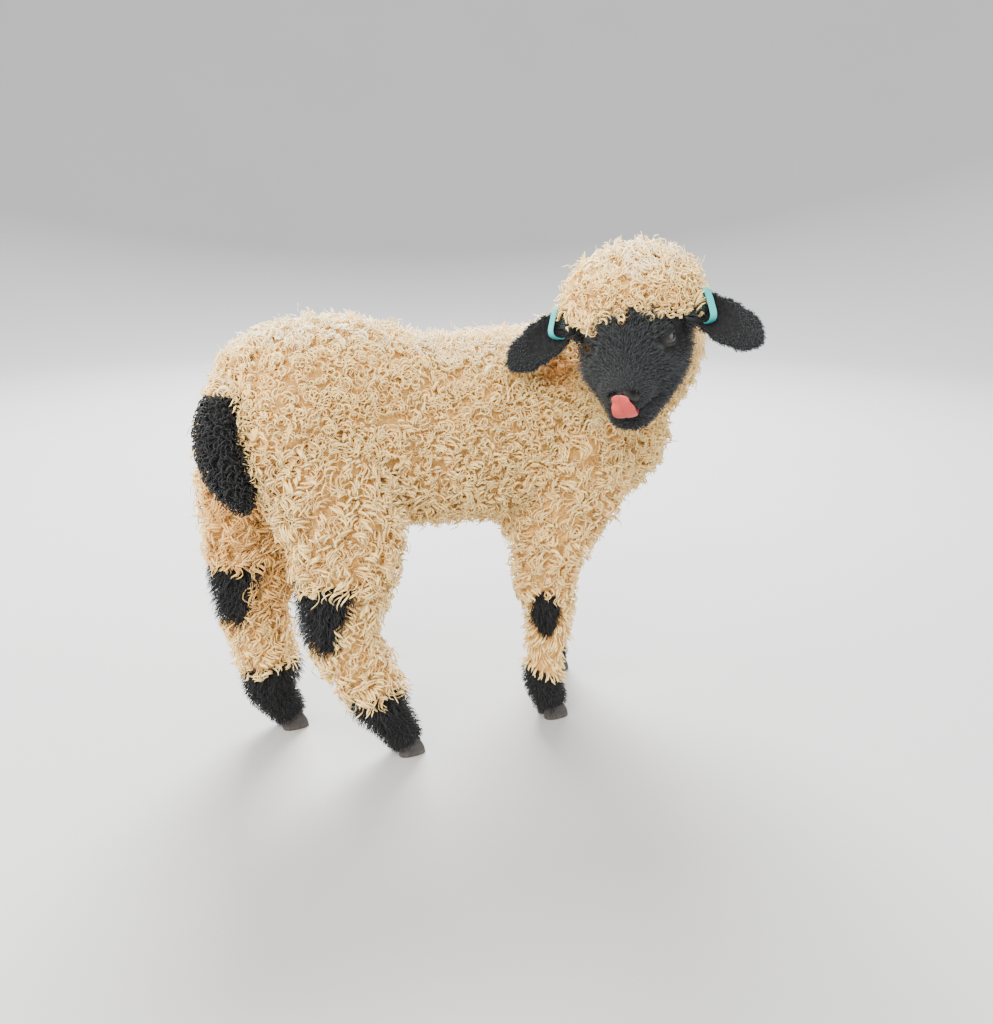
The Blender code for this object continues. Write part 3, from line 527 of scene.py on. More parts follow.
def weld(mesh):
    """Merges the points that a pole repeats and turns every face outwards."""
    bm = bmesh.new()
    bm.from_mesh(mesh)
    bmesh.ops.remove_doubles(bm, verts=bm.verts, dist=1e-6)
    bmesh.ops.dissolve_degenerate(bm, edges=bm.edges, dist=1e-6)
    bmesh.ops.recalc_face_normals(bm, faces=bm.faces)
    bm.to_mesh(mesh)
    bm.free()
    mesh.shade_smooth()


def mesh_points(mesh):
    points = np.empty(len(mesh.vertices) * 3, np.float32)
    mesh.vertices.foreach_get("co", points)
    return points.reshape(-1, 3).astype(float)


def set_value(mesh, name, values):
    layer = mesh.attributes.new(name, "FLOAT", "POINT")
    layer.data.foreach_set("value", np.ascontiguousarray(values, np.float32))


def place_piece(piece, slot, material, *nodes):
    piece.data.materials.clear()
    piece.data.materials.append(material)
    if nodes:
        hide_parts(*nodes)
    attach(piece, "root")


# Materials


class Number:
    """A value in a material. Arithmetic on it adds Math nodes, also from the right, as in 1 - mask."""

    def __init__(self, finish, socket):
        self.finish = finish
        self.socket = socket

    def math(self, operation, first, second):
        inputs = {0: first, 1: second}
        return Number(self.finish, self.finish.node("ShaderNodeMath", {"operation": operation}, inputs))

    def __add__(self, other):
        return self.math("ADD", self, other)

    __radd__ = __add__

    def __sub__(self, other):
        return self.math("SUBTRACT", self, other)

    def __rsub__(self, other):
        return self.math("SUBTRACT", other, self)

    def __mul__(self, other):
        return self.math("MULTIPLY", self, other)

    __rmul__ = __mul__

    def __truediv__(self, other):
        return self.math("DIVIDE", self, other)

    def __pow__(self, other):
        return self.math("POWER", self, other)

    def within(self, low, high):
        """0 below `low`, 1 above `high`, smooth between."""
        settings = {"interpolation_type": "SMOOTHSTEP"}
        inputs = {0: self, 1: low, 2: high}
        return Number(self.finish, self.finish.node("ShaderNodeMapRange", settings, inputs))


class Finish:
    """A material under construction. Constants go on the shader's own sockets."""

    def __init__(self, name, **constants):
        self.material = bpy.data.materials.new(name)
        self.material.use_nodes = True
        self.tree = self.material.node_tree
        self.shader = self.tree.nodes["Principled BSDF"]
        for label, value in constants.items():
            self.shader.inputs[label.replace("_", " ").title().replace("Ior", "IOR")].default_value = value

    def feed(self, socket, value):
        if isinstance(value, Number):
            value = value.socket
        if isinstance(value, bpy.types.NodeSocket):
            self.tree.links.new(value, socket)
        else:
            socket.default_value = value

    def node(self, kind, settings=None, inputs=None, output=0):
        """Adds a node: its type, its settings first, and then values or links for its sockets."""
        node = self.tree.nodes.new(kind)
        for name, value in (settings or {}).items():
            setattr(node, name, value)
        for name, value in (inputs or {}).items():
            self.feed(node.inputs[name], value)
        return node.outputs[output]

    def attribute(self, name):
        return Number(self, self.node("ShaderNodeAttribute", {"attribute_name": name}, output="Fac"))

    def place(self):
        return self.node("ShaderNodeTexCoord", output="Object")

    def distance_from(self, point):
        inputs = {0: self.place(), 1: point}
        return Number(self, self.node("ShaderNodeVectorMath", {"operation": "DISTANCE"}, inputs, "Value"))

    def stretched_place(self, scales):
        return self.node("ShaderNodeVectorMath", {"operation": "MULTIPLY"}, {0: self.place(), 1: scales})

    def noise(self, scale, detail, rough=0.5, vector=None):
        inputs = {"Vector": vector or self.place(), "Scale": scale, "Detail": detail, "Roughness": rough}
        return Number(self, self.node("ShaderNodeTexNoise", None, inputs, "Fac"))

    def cells(self, scale):
        inputs = {"Vector": self.place(), "Scale": scale}
        return Number(self, self.node("ShaderNodeTexVoronoi", None, inputs, "Distance"))

    def mix(self, first, second, amount):
        """Blends two colours, each a link or three numbers."""
        first, second = (c if isinstance(c, bpy.types.NodeSocket) else (*c, 1.0) for c in (first, second))
        return self.node("ShaderNodeMix", {"data_type": "RGBA"}, {0: amount, 6: first, 7: second}, 2)

    def bump(self, height, distance, strength):
        inputs = {"Height": height, "Distance": distance, "Strength": strength}
        self.feed(self.shader.inputs["Normal"], self.node("ShaderNodeBump", None, inputs))

    def set(self, label, value):
        self.feed(self.shader.inputs[label], value)


def fleece_finish(look):
    """Cream wool: darker and warmer near the roots, paler at the tips, with each curl a little different. The
    curls' tone also carries painted light: tips of high tone, on locks that face up and on the wisps, turn
    near white as a painted highlight, and low tone on the inner thighs gives painted shade.
    """
    finish = Finish("cream_fleece", roughness=0.72, sheen_weight=0.25, sheen_roughness=0.45)
    reach = finish.attribute("reach")
    tone = finish.attribute("tone")
    patches = finish.noise(9.0, 3.0, 0.6)
    rust = finish.noise(4.0, 2.0, 0.5).within(0.45, 0.75) * 0.6
    # A warmer, darker orange patch in the wool below the right ear
    under_ear_patch = 1 - (finish.distance_from(UNDER_EAR_PATCH) + patches * 0.03).within(0.020, 0.062)
    pale = reach.within(0.05, 0.85) * 0.75 + tone * 0.55 - 0.15 + (patches - 0.5) * 0.5 - under_ear_patch * 0.9
    warm = finish.mix(look.fleece_root, look.fleece_rust, rust + under_ear_patch)
    cream = finish.mix(warm, look.fleece_tip, pale.within(0.0, 1.0))
    # Painted highlight: locks of high tone, those that face up and the wisps, turn near white at their tips,
    # standing in for the light from above and behind
    painted_highlight = tone.within(0.95, 1.7) * reach.within(0.1, 0.7) * 0.85
    finish.set("Base Color", finish.mix(cream, look.fleece_painted_highlight, painted_highlight))
    finish.bump(finish.noise(900.0, 2.0, 0.7), 0.0004, 0.6)
    return finish.material


def black_wool_finish(look, name, paler):
    """Short black wool, lighter at the tips, whose colour is partly their own and partly a painted bluish sky
    light; `paler` multiplies the share of the tips' colour, and with it how much painted light the part
    shows.
    """
    finish = Finish(name, roughness=0.66, specular_ior_level=0.3, sheen_weight=0.05, sheen_roughness=0.4)
    tone = finish.attribute("tone")
    reach = finish.attribute("reach")
    amount = (reach * 0.35 + tone * tone * 0.35 + finish.noise(30.0, 2.0) * 0.25) * paler
    # The tips' colour is partly their own and partly painted bluish sky light
    finish.set("Base Color", finish.mix(look.black_root, look.black_tip_and_sky_light, amount))
    return finish.material


def skin_finish(look):
    """Dense under-wool over the skin, cream or black by its mark, and bare leather on the nose and lips. The
    cream under-wool is darkened as painted shade where it shows between the curls, darkest at the borders of
    its knob-like cells.
    """
    finish = Finish("skin_and_under_wool", specular_ior_level=0.25)
    dark = finish.attribute("dark")
    bare = finish.attribute("bare")
    curls = finish.cells(170.0)
    strands = finish.noise(420.0, 3.0, 0.65)
    waves = finish.noise(260.0, 1.0, 0.5)
    # Painted shade: the under-wool darkens towards the borders of the cells, so each cell reads as a shaded
    # knob of wool
    knob_shade = 1 - curls.within(0.30, 0.70) * 0.75
    fine = (strands * 0.5 + waves * 0.5).within(0.36, 0.62)
    under = finish.mix(look.fleece_painted_shade, look.fleece_root, fine * knob_shade)
    black = finish.mix((0.005, 0.005, 0.006), (0.016, 0.016, 0.017), strands.within(0.35, 0.8))
    pores = finish.cells(1400.0)
    leather = finish.mix((0.005, 0.005, 0.0055), (0.014, 0.013, 0.013), pores.within(0.2, 0.7))
    wool = finish.mix(under, black, dark)
    finish.set("Base Color", finish.mix(wool, leather, bare))
    finish.set("Roughness", 0.88 - bare * 0.42)
    finish.bump((curls * 1.2 + strands * 0.5) * (1 - bare) + pores * bare * 0.12, 0.0022, 0.7)
    return finish.material


def eye_finish():
    """A dark brown iris with a wide level pupil, under a wet clear surface."""
    finish = Finish("eye", roughness=0.12, specular_ior_level=0.35, coat_weight=0.35, coat_roughness=0.03)
    across = finish.attribute("across")
    rise = finish.attribute("rise")
    ring = (across**2 + rise**2) ** 0.5
    pupil = ((across / 0.62) ** 2 + (rise / 0.26) ** 2).within(0.85, 1.15)
    fibres = finish.noise(1500.0, 3.0, 0.7)
    iris = finish.mix((0.007, 0.004, 0.003), (0.018, 0.010, 0.006), fibres.within(0.35, 0.75))
    iris = finish.mix((0.002, 0.002, 0.003), iris, pupil)
    rim = finish.mix(iris, (0.006, 0.004, 0.004), ring.within(0.85, 1.02))
    white = finish.mix((0.006, 0.004, 0.004), (0.030, 0.020, 0.016), ring.within(1.25, 1.9))
    finish.set("Base Color", finish.mix(rim, white, ring.within(1.0, 1.12)))
    return finish.material


def tongue_finish(look):
    """Moist pink flesh with fine bumps, deeper coloured in blotches, and darker along the groove as painted
    shade in the crease.
    """
    finish = Finish("tongue", roughness=0.5, coat_weight=0.12, coat_roughness=0.3, subsurface_weight=0.12)
    finish.shader.inputs["Subsurface Radius"].default_value = (0.004, 0.0015, 0.001)
    blotches = finish.noise(160.0, 3.0, 0.6)
    # Painted shade along the groove, and the tongue's own darker blotches
    groove_shade_and_blotches = blotches.within(0.35, 0.75) * 0.45 + finish.attribute("groove") * 0.5
    finish.set("Base Color", finish.mix(look.tongue, (0.34, 0.026, 0.024), groove_shade_and_blotches))
    finish.bump(finish.cells(1300.0) * -1.0 + blotches * 0.6, 0.0006, 0.55)
    return finish.material


def tag_finish(look):
    """Plain moulded plastic with a faint scuffed haze and patches of dirt."""
    finish = Finish("tag_plastic", subsurface_weight=0.1, ior=1.48)
    finish.shader.inputs["Subsurface Radius"].default_value = (0.002, 0.004, 0.004)
    scuffs = finish.noise(240.0, 4.0, 0.7)
    dirt = finish.noise(70.0, 3.0, 0.6).within(0.62, 0.8)
    darker = tuple(0.55 * c for c in look.tag)
    plastic = finish.mix(look.tag, darker, dirt * 0.5)
    finish.set("Base Color", finish.mix(plastic, (0.16, 0.58, 0.56), scuffs.within(0.6, 0.9) * 0.25))
    finish.set("Roughness", 0.34 + scuffs * 0.22)
    finish.bump(scuffs, 0.0001, 0.5)
    return finish.material


def claw_finish(look):
    """Dull dark horn with level growth rings and fine upright grain, paler where it wears below."""
    finish = Finish("claw_horn", ior=1.5)
    rings = finish.noise(1.0, 3.0, 0.55, finish.stretched_place((120.0, 120.0, 900.0)))
    lines = finish.noise(1.0, 2.0, 0.6, finish.stretched_place((900.0, 900.0, 60.0)))
    worn = 1 - finish.attribute("height").within(0.0, 0.35)
    base = finish.mix(look.horn, (0.060, 0.050, 0.043), rings.within(0.4, 0.75) * 0.6)
    finish.set("Base Color", finish.mix(base, (0.11, 0.094, 0.080), worn * lines.within(0.3, 0.8)))
    finish.set("Roughness", 0.5 + lines * 0.25)
    finish.bump(rings * 0.7 + lines * 0.3, 0.0005, 0.7)
    return finish.material


def floor_finish(look):
    finish = Finish("studio_floor")
    clouds = finish.noise(1.7, 4.0, 0.6)
    tint = finish.mix(look.floor, tuple(0.93 * c for c in look.floor), clouds)
    finish.set("Base Color", tint)
    finish.set("Roughness", 0.75 + clouds * 0.1)
    return finish.material


# Skin


def skin_grid_parts():
    """The grid of every part at the depth where skin and under-wool lie."""
    parts = []
    for name, tube in TUBES.items():
        columns = 28 if name.startswith(("ear", "leg", "tail")) else 56
        points, _ = tube.grid(SKIN_SHARE, columns)
        if name == "cap":
            # The cap's core sits on the skull and isn't flesh below the hairline
            points = from_head(np.maximum(to_head(points), (-1, -1, 0.0)))
        parts.append(grid_mesh(name, points))
    return parts


def eye_frames():
    """For each eye, in the head's frame: its centre, the way it looks, and the level and upright ways."""
    frames = {}
    for name, side_sign in (("left", 1), ("right", -1)):
        flip = np.array((1, side_sign, 1))
        sight = EYE_SIGHT * flip
        level = unit(np.cross((0, 0, 1), sight))
        frames[name] = (EYE_CENTRE * flip, sight, level, np.cross(sight, level))
    return frames


def almond_at(points, centre, sight, level, upright):
    """Each point's share of the almond between the lids, and its offset from the eye, in all and ahead."""
    offset = points - centre
    far = np.maximum(np.linalg.norm(offset, axis=1), 1e-9)
    across = offset @ level / far * EYE_RADIUS
    rise = offset @ upright / far * EYE_RADIUS
    almond = np.sqrt((across / LID_HALF_WIDTH) ** 2 + (rise / LID_HALF_HEIGHT) ** 2)
    return almond, offset, far, offset @ sight


def carve_face(points):
    """Moves the skin's points, in the head's frame, to form lids, nostrils, lips and the line of the mouth.

    Lids: with e the distance from the line of sight over an almond's half axes, the skin's distance from the
    eye's centre is set below the ball inside e = 1, just over it at e = 1.1 to 1.6, and left alone past 3.
    Nostrils: a dent that falls off as a bell curve across a slanted oval. Mouth: the same across its level.
    """
    for centre, sight, level, upright in eye_frames().values():
        almond, offset, far, ahead = almond_at(points, centre, sight, level, upright)
        near = (ahead > 0) & (far < 0.026) & (almond < 3.2)
        lid = EYE_RADIUS + 0.0011 + 0.0012 * bell(almond - 1.35, 0.22)
        behind = EYE_RADIUS - 0.0030
        wanted = np.where(almond < 1, behind, lid)
        wanted = behind + (wanted - behind) * smoothstep(almond, 0.90, 1.12)
        blend = 1 - smoothstep(almond, 1.7, 3.0)
        moved = centre + unit(offset) * (far + (wanted - far) * blend)[:, None]
        points = np.where(near[:, None], moved, points)
    for side_sign in (1, -1):
        offset = points - np.array(NOSTRIL) * (1, side_sign, 1)
        slant = math.radians(NOSTRIL_SLANT) * side_sign
        across = offset[:, 1] * math.cos(slant) - offset[:, 2] * math.sin(slant)
        rise = offset[:, 1] * math.sin(slant) + offset[:, 2] * math.cos(slant)
        oval = (across / 0.0046) ** 2 + (rise / 0.0022) ** 2
        front = smoothstep(points[:, 0], 0.095, 0.108)
        points[:, 0] -= (0.0070 * np.exp(-oval) - 0.0012 * bell(np.sqrt(oval) - 1.9, 0.5)) * front
    line = MOUTH_HEIGHT + 0.0015 * smoothstep(points[:, 0], 0.06, 0.12)
    along_mouth = smoothstep(points[:, 0], 0.045, 0.060)
    level = points[:, 2] - line
    groove = bell(level, 0.0014) * 0.0040 - bell(np.abs(level) - 0.0036, 0.0022) * 0.0010
    inward = np.column_stack([0.085 - points[:, 0], -points[:, 1], np.zeros(len(points))])
    points = points + unit(inward) * (groove * along_mouth)[:, None]
    furrow = bell(points[:, 1], 0.0011) * smoothstep(points[:, 0], 0.108, 0.118)
    furrow *= smoothstep(points[:, 2], MOUTH_HEIGHT, MOUTH_HEIGHT + 0.004)
    furrow *= 1 - smoothstep(points[:, 2], -0.010, -0.004)
    points[:, 0] -= furrow * 0.0018
    return points


def nose_oval(place):
    """Under 1 on the bare leather round and between the nostrils, an oval on the front of the muzzle."""
    oval = (place[:, 1] / 0.0140) ** 2 + ((place[:, 2] + 0.012) / 0.0085) ** 2
    return np.where(place[:, 0] > 0.107, oval, 9.0)


def in_box(place, low, high):
    """Which points lie between two corners."""
    return ((place > low) & (place < high)).all(axis=1)


def finer_face(mesh):
    """Splits the skin's faces round the eyes and over the muzzle."""
    bm = bmesh.new()
    bm.from_mesh(mesh)
    centres = np.array([face.calc_center_median() for face in bm.faces])
    place = to_head(centres)
    wanted = in_box(place, (0.088, -0.035, -0.065), (0.140, 0.035, 0.020))
    for centre, _, _, _ in eye_frames().values():
        wanted |= np.linalg.norm(place - centre, axis=1) < 0.021
    bm.faces.ensure_lookup_table()
    edges = {edge for i in np.flatnonzero(wanted) for edge in bm.faces[i].edges}
    bmesh.ops.subdivide_edges(bm, edges=list(edges), cuts=4, use_grid_fill=True, smooth=0.0)
    bm.to_mesh(mesh)
    bm.free()


def build_skin(voxel):
    """Joins every part into one closed surface by a voxel remesh, evens it out, and carves the face."""
    bm = bmesh.new()
    for part in skin_grid_parts():
        bm.from_mesh(part)
        bpy.data.meshes.remove(part)
    bmesh.ops.remove_doubles(bm, verts=bm.verts, dist=1e-7)
    mesh = bpy.data.meshes.new("skin")
    bm.to_mesh(mesh)
    bm.free()
    skin = new_piece("skin", mesh)
    remesh = skin.modifiers.new("join", "REMESH")
    remesh.mode = "VOXEL"
    remesh.voxel_size = voxel
    remesh.use_smooth_shade = True
    smooth = skin.modifiers.new("even", "SMOOTH")
    smooth.factor = 0.5
    smooth.iterations = 5
    bake_modifiers(skin)
    finer_face(skin.data)
    points = mesh_points(skin.data)
    place = to_head(points)
    in_face = in_box(place, (-0.010, -0.060, -0.075), (0.150, 0.060, 0.045))
    points[in_face] = from_head(carve_face(place[in_face]))
    skin.data.vertices.foreach_set("co", points.astype(np.float32).ravel())
    skin.data.update()
    mark_skin(skin.data, points)
    return skin


def mark_skin(mesh, points):
    """Marks where the skin is black and where it is bare: nose, lips and lids.

    A point takes the black mark of the part whose surface it is least outside of.
    """
    outside = [tube.outside(points, SKIN_SHARE) - 0.004 * (name == "tail") for name, tube in TUBES.items()]
    owner = np.argmin(outside, axis=0)
    place = to_head(points)
    in_head = place[:, 0] > 0.016
    dark = np.zeros(len(points))
    for index, name in enumerate(TUBES):
        mine = owner == index
        dark[mine] = darkness(name, points[mine], 0.005)
        if name == "neck":
            dark[mine & in_head] = darkness("head", points[mine & in_head], 0.005)
    set_value(mesh, "dark", dark)
    nose = 1 - smoothstep(nose_oval(place), 0.85, 1.1)
    lips = bell(place[:, 2] - MOUTH_HEIGHT, 0.0035) * smoothstep(place[:, 0], 0.055, 0.065)
    lips *= (place[:, 0] < 0.14) & (np.abs(place[:, 1]) < 0.03)
    bare = np.maximum(nose, lips)
    for centre, sight, level, upright in eye_frames().values():
        almond, _, far, ahead = almond_at(place, centre, sight, level, upright)
        bare = np.maximum(bare, (1 - smoothstep(almond, 1.25, 1.5)) * (far < 0.016) * (ahead > 0))
    set_value(mesh, "bare", bare)


def settle(points, skin):
    """Each point's nearest place on the skin and the normal there, by Shrinkwrap at two heights."""
    mesh = bpy.data.meshes.new("roots")
    mesh.from_pydata(points.tolist(), [], [])
    thing = new_piece("roots", mesh)
    wrap = thing.modifiers.new("settle", "SHRINKWRAP")
    wrap.target = skin
    wrap.wrap_method = "NEAREST_SURFACEPOINT"
    found = []
    for mode, height in (("ON_SURFACE", 0.0), ("ABOVE_SURFACE", 0.01)):
        wrap.wrap_mode = mode
        wrap.offset = height
        bpy.context.view_layer.update()
        graph = bpy.context.evaluated_depsgraph_get()
        found.append(mesh_points(thing.evaluated_get(graph).data))
    bpy.data.objects.remove(thing)
    bpy.data.meshes.remove(mesh)
    return found[0], unit(found[1] - found[0])


# Wool


def scatter(name, spacing, dice):
    """Spreads places over a part with even density.

    The row comes from the share of the area up to it, and the place in the row from the length round it. Both
    are driven by an additive recurrence on the plastic number, and each place is then shaken a little.
    """
    tube = TUBES[name]
    columns = 48
    grid, which = tube.grid(SKIN_SHARE, columns)
    rows = len(grid)
    across = np.linalg.norm(np.roll(grid, -1, axis=1) - grid, axis=2)
    step = np.linalg.norm(np.diff(grid, axis=0), axis=2)
    cell = (across[:-1] + across[1:]) / 2 * (step + np.roll(step, -1, axis=1)) / 2
    number = int(cell.sum() / spacing**2)
    k = np.arange(number)
    down = (k * EVEN_STEPS[0] + dice.random()) % 1
    round_it = (k * EVEN_STEPS[1] + dice.random()) % 1
    row_share = np.concatenate([[0], np.cumsum(cell.sum(axis=1))]) / cell.sum()
    r = np.interp(down, row_share, np.arange(rows))
    i = np.minimum(r.astype(int), rows - 2)
    up_to = np.concatenate([np.zeros((rows - 1, 1)), np.cumsum(cell, axis=1)], axis=1)
    up_to /= up_to[:, -1:]
    key = (np.arange(rows - 1)[:, None] + up_to * 0.999999).ravel()
    c = np.interp(i + round_it * 0.999999, key, np.tile(np.arange(columns + 1.0), rows - 1))
    j = np.floor(c).astype(int) % columns
    fr, fc = (r - i)[:, None], (c - np.floor(c))[:, None]
    next_j = (j + 1) % columns
    points = (grid[i, j] * (1 - fc) + grid[i, next_j] * fc) * (1 - fr)
    points += (grid[i + 1, j] * (1 - fc) + grid[i + 1, next_j] * fc) * fr
    points += dice.normal(0, spacing * 0.22, points.shape)
    ring = which[i]
    return {
        "part": np.full(number, name),
        "root": points,
        "along": tube.along[ring],
        "coat": tube.coat[ring],
        "place": np.column_stack([c / columns, r / rows]),
        "outward": unit(points - tube.centre[ring]),
    }


def join_roots(groups):
    return {key: np.concatenate([group[key] for group in groups]) for key in groups[0]}


def choose(roots, keep):
    return {key: values[keep] for key, values in roots.items()}


def gather_roots(names, spacing, skin, dice):
    """Roots over the named parts that really lie on the skin, with the skin's normal and the wool's mark."""
    groups = []
    for index, name in enumerate(names):
        roots = scatter(name, spacing, dice)
        roots["tile"] = np.full(len(roots["root"]), index / len(names))
        groups.append(roots)
    roots = join_roots(groups)
    roots["place"][:, 0] = roots["tile"] + roots["place"][:, 0] / len(names)
    settled, normal = settle(roots["root"], skin)
    hidden = np.linalg.norm(settled - roots["root"], axis=1) > COVERED_DEPTH
    facing = (normal * roots["outward"]).sum(axis=1) > -0.2
    roots["root"] = settled
    roots["normal"] = normal
    roots["dark"] = np.zeros(len(settled))
    for name in names:
        mine = roots["part"] == name
        roots["dark"][mine] = darkness(name, settled[mine])
    return choose(roots, ~hidden & facing)


def sideways(vectors, normal):
    """What is left of each vector along the surface."""
    return vectors - normal * (vectors * normal).sum(axis=1, keepdims=True)


def bundles(points, size):
    """The bundle of about `size` neighbours of each place: that of the nearest of every size-th place."""
    middles = points[::size]
    chunks = np.array_split(points, len(points) // 400 + 1)
    return np.concatenate([((chunk[:, None] - middles) ** 2).sum(axis=2).argmin(axis=1) for chunk in chunks])


def locks(
    name, roots, lean, stand, climb, radius, turns, thick, rings, dice, flat=1.0, start_angle=None, drift=0.0
):
    """Solid locks of wool, each a thin three-sided tube closed at the root and drawn out to a point.

    The middle line starts along `stand` and bends over to `lean`. A coil of the given radius and number of
    turns goes round it, wide in the middle and closing in at both ends. `drift` carries the tip aside by the
    square of the way along. The tube's thickness swells and then tapers, and its rings stand closer at the
    tip. A negative number of turns coils the other way.
    """
    number = len(roots["root"])
    s = np.linspace(0, 1, rings)[None, :, None] ** 0.8
    start, finish = unit(stand)[:, None], unit(lean)[:, None]
    sizes = (climb, radius, turns, thick)
    climb, radius, turns, thick = (np.broadcast_to(each, number)[:, None, None] for each in sizes)
    spine = roots["root"][:, None] + climb * 1.25 * (start * (s - s**2 / 2) + finish * s**2 / 2)
    heading = unit(start * (1 - s) + finish * s)
    level = unit(np.cross(start, finish) + dice.normal(0, 1e-3, start.shape))
    level = unit(level - heading * (level * heading).sum(axis=2, keepdims=True))
    upright = np.cross(heading, level)
    if start_angle is None:
        start_angle = dice.random(number) * 2 * math.pi
    angle = start_angle[:, None, None] + 2 * math.pi * turns * s
    swell = radius * np.sin(math.pi * (0.14 + 0.62 * s))
    outward = level * np.cos(angle) + upright * np.sin(angle)
    middle = spine + swell * outward
    middle = middle - middle[:, :1] + roots["root"][:, None] - start * ROOT_SINK
    middle = middle + np.reshape(np.broadcast_to(drift, (number, 3)), (number, 1, 3)) * s**2
    tangent = unit(np.gradient(middle, axis=1))
    broad = unit(np.cross(tangent, outward))
    narrow = np.cross(tangent, broad)
    width = thick * (0.8 + 0.5 * s) * np.sqrt(np.clip(1 - s**4, 0, 1))
    corner = np.arange(3) * 2 * math.pi / 3
    around = (
        broad[:, :, None] * np.cos(corner)[None, None, :, None] * flat
        + narrow[:, :, None] * np.sin(corner)[None, None, :, None] / flat
    )
    body = middle[:, :-1, None] + around[:, :-1] * width[:, :-1, None]
    points = np.concatenate([body.reshape(number, -1, 3), middle[:, -1:]], axis=1)

    size = (rings - 1) * 3 + 1
    i, j = np.meshgrid(np.arange(rings - 2), np.arange(3), indexing="ij")
    k = (j + 1) % 3
    quads = np.stack([i * 3 + j, i * 3 + k, i * 3 + 3 + k, i * 3 + 3 + j], axis=-1).reshape(-1)
    base = (rings - 2) * 3
    tip = np.array([[base + a, base + (a + 1) % 3, size - 1] for a in range(3)]).ravel()
    template = np.concatenate([quads, tip, [2, 1, 0]])
    starts = np.concatenate([np.arange(0, len(quads), 4), len(quads) + np.arange(4) * 3])
    loops = (template[None] + (np.arange(number) * size)[:, None]).ravel()
    loop_starts = (starts[None] + (np.arange(number) * len(template))[:, None]).ravel()
    mesh = new_mesh(name, points.reshape(-1, 3), loops, loop_starts)

    reach = np.append(np.repeat(s.ravel()[:-1], 3), 1.0)
    set_value(mesh, "reach", np.tile(reach, number))
    tone = roots["tone"] if "tone" in roots else dice.random(number)
    set_value(mesh, "tone", np.repeat(tone, size))
    spot = np.append(np.tile(np.arange(3) / 2 - 0.5, rings - 1), 0.0)
    patch = np.column_stack([spot * 0.003, (reach - 0.5) * 0.003])
    uv = np.clip(roots["place"], 0.002, 0.998)[:, None] + patch[template][None]
    layer = mesh.uv_layers.new(name="OFBake")
    layer.uv.foreach_set("vector", np.ascontiguousarray(uv, np.float32).ravel())
    return new_piece(name, mesh)


def fleece_lie(roots):
    """Which way a curl leans: down and a little back, and outwards over the crown of the head."""
    normal = roots["normal"]
    down = np.tile((-0.25, 0.0, -1.0), (len(normal), 1))
    crown = from_head(np.array((0.0, 0.0, 0.07)))
    over_head = unit(roots["root"] - crown) * 0.8 + HEAD_AXES[:, 0] * 0.45
    on_cap = np.isin(roots["part"], ("cap", "head", "jaw"))[:, None]
    return unit(sideways(np.where(on_cap, over_head, down), normal) + 1e-6)


def coat_tone(roots, dice, group):
    """Light and dark locks: even in a bundle, with painted light in them: paler on the locks that face up, a
    painted highlight, and browner on the inside of the thighs, painted shade.
    """
    shared = dice.random(group.max() + 1)[group]
    # Painted highlight: locks that face up get a higher tone and so paler tips
    painted_highlight = smoothstep(roots["normal"][:, 2], 0.55, 0.95) * 0.9
    tone = shared * 0.65 + dice.random(len(group)) * 0.35 + painted_highlight
    for name, side_sign in (("leg_hind_left", -1), ("leg_hind_right", 1)):
        # Painted shade: locks on the inside of each hind thigh, above the hock, get a lower tone and so a
        # darker, browner colour, where shade falls between the legs
        inner = smoothstep(roots["normal"][:, 1] * side_sign, -0.1, 0.5) * (roots["part"] == name)
        tone = tone - inner * 1.3 * smoothstep(roots["root"][:, 2], 0.12, 0.20)
    return tone


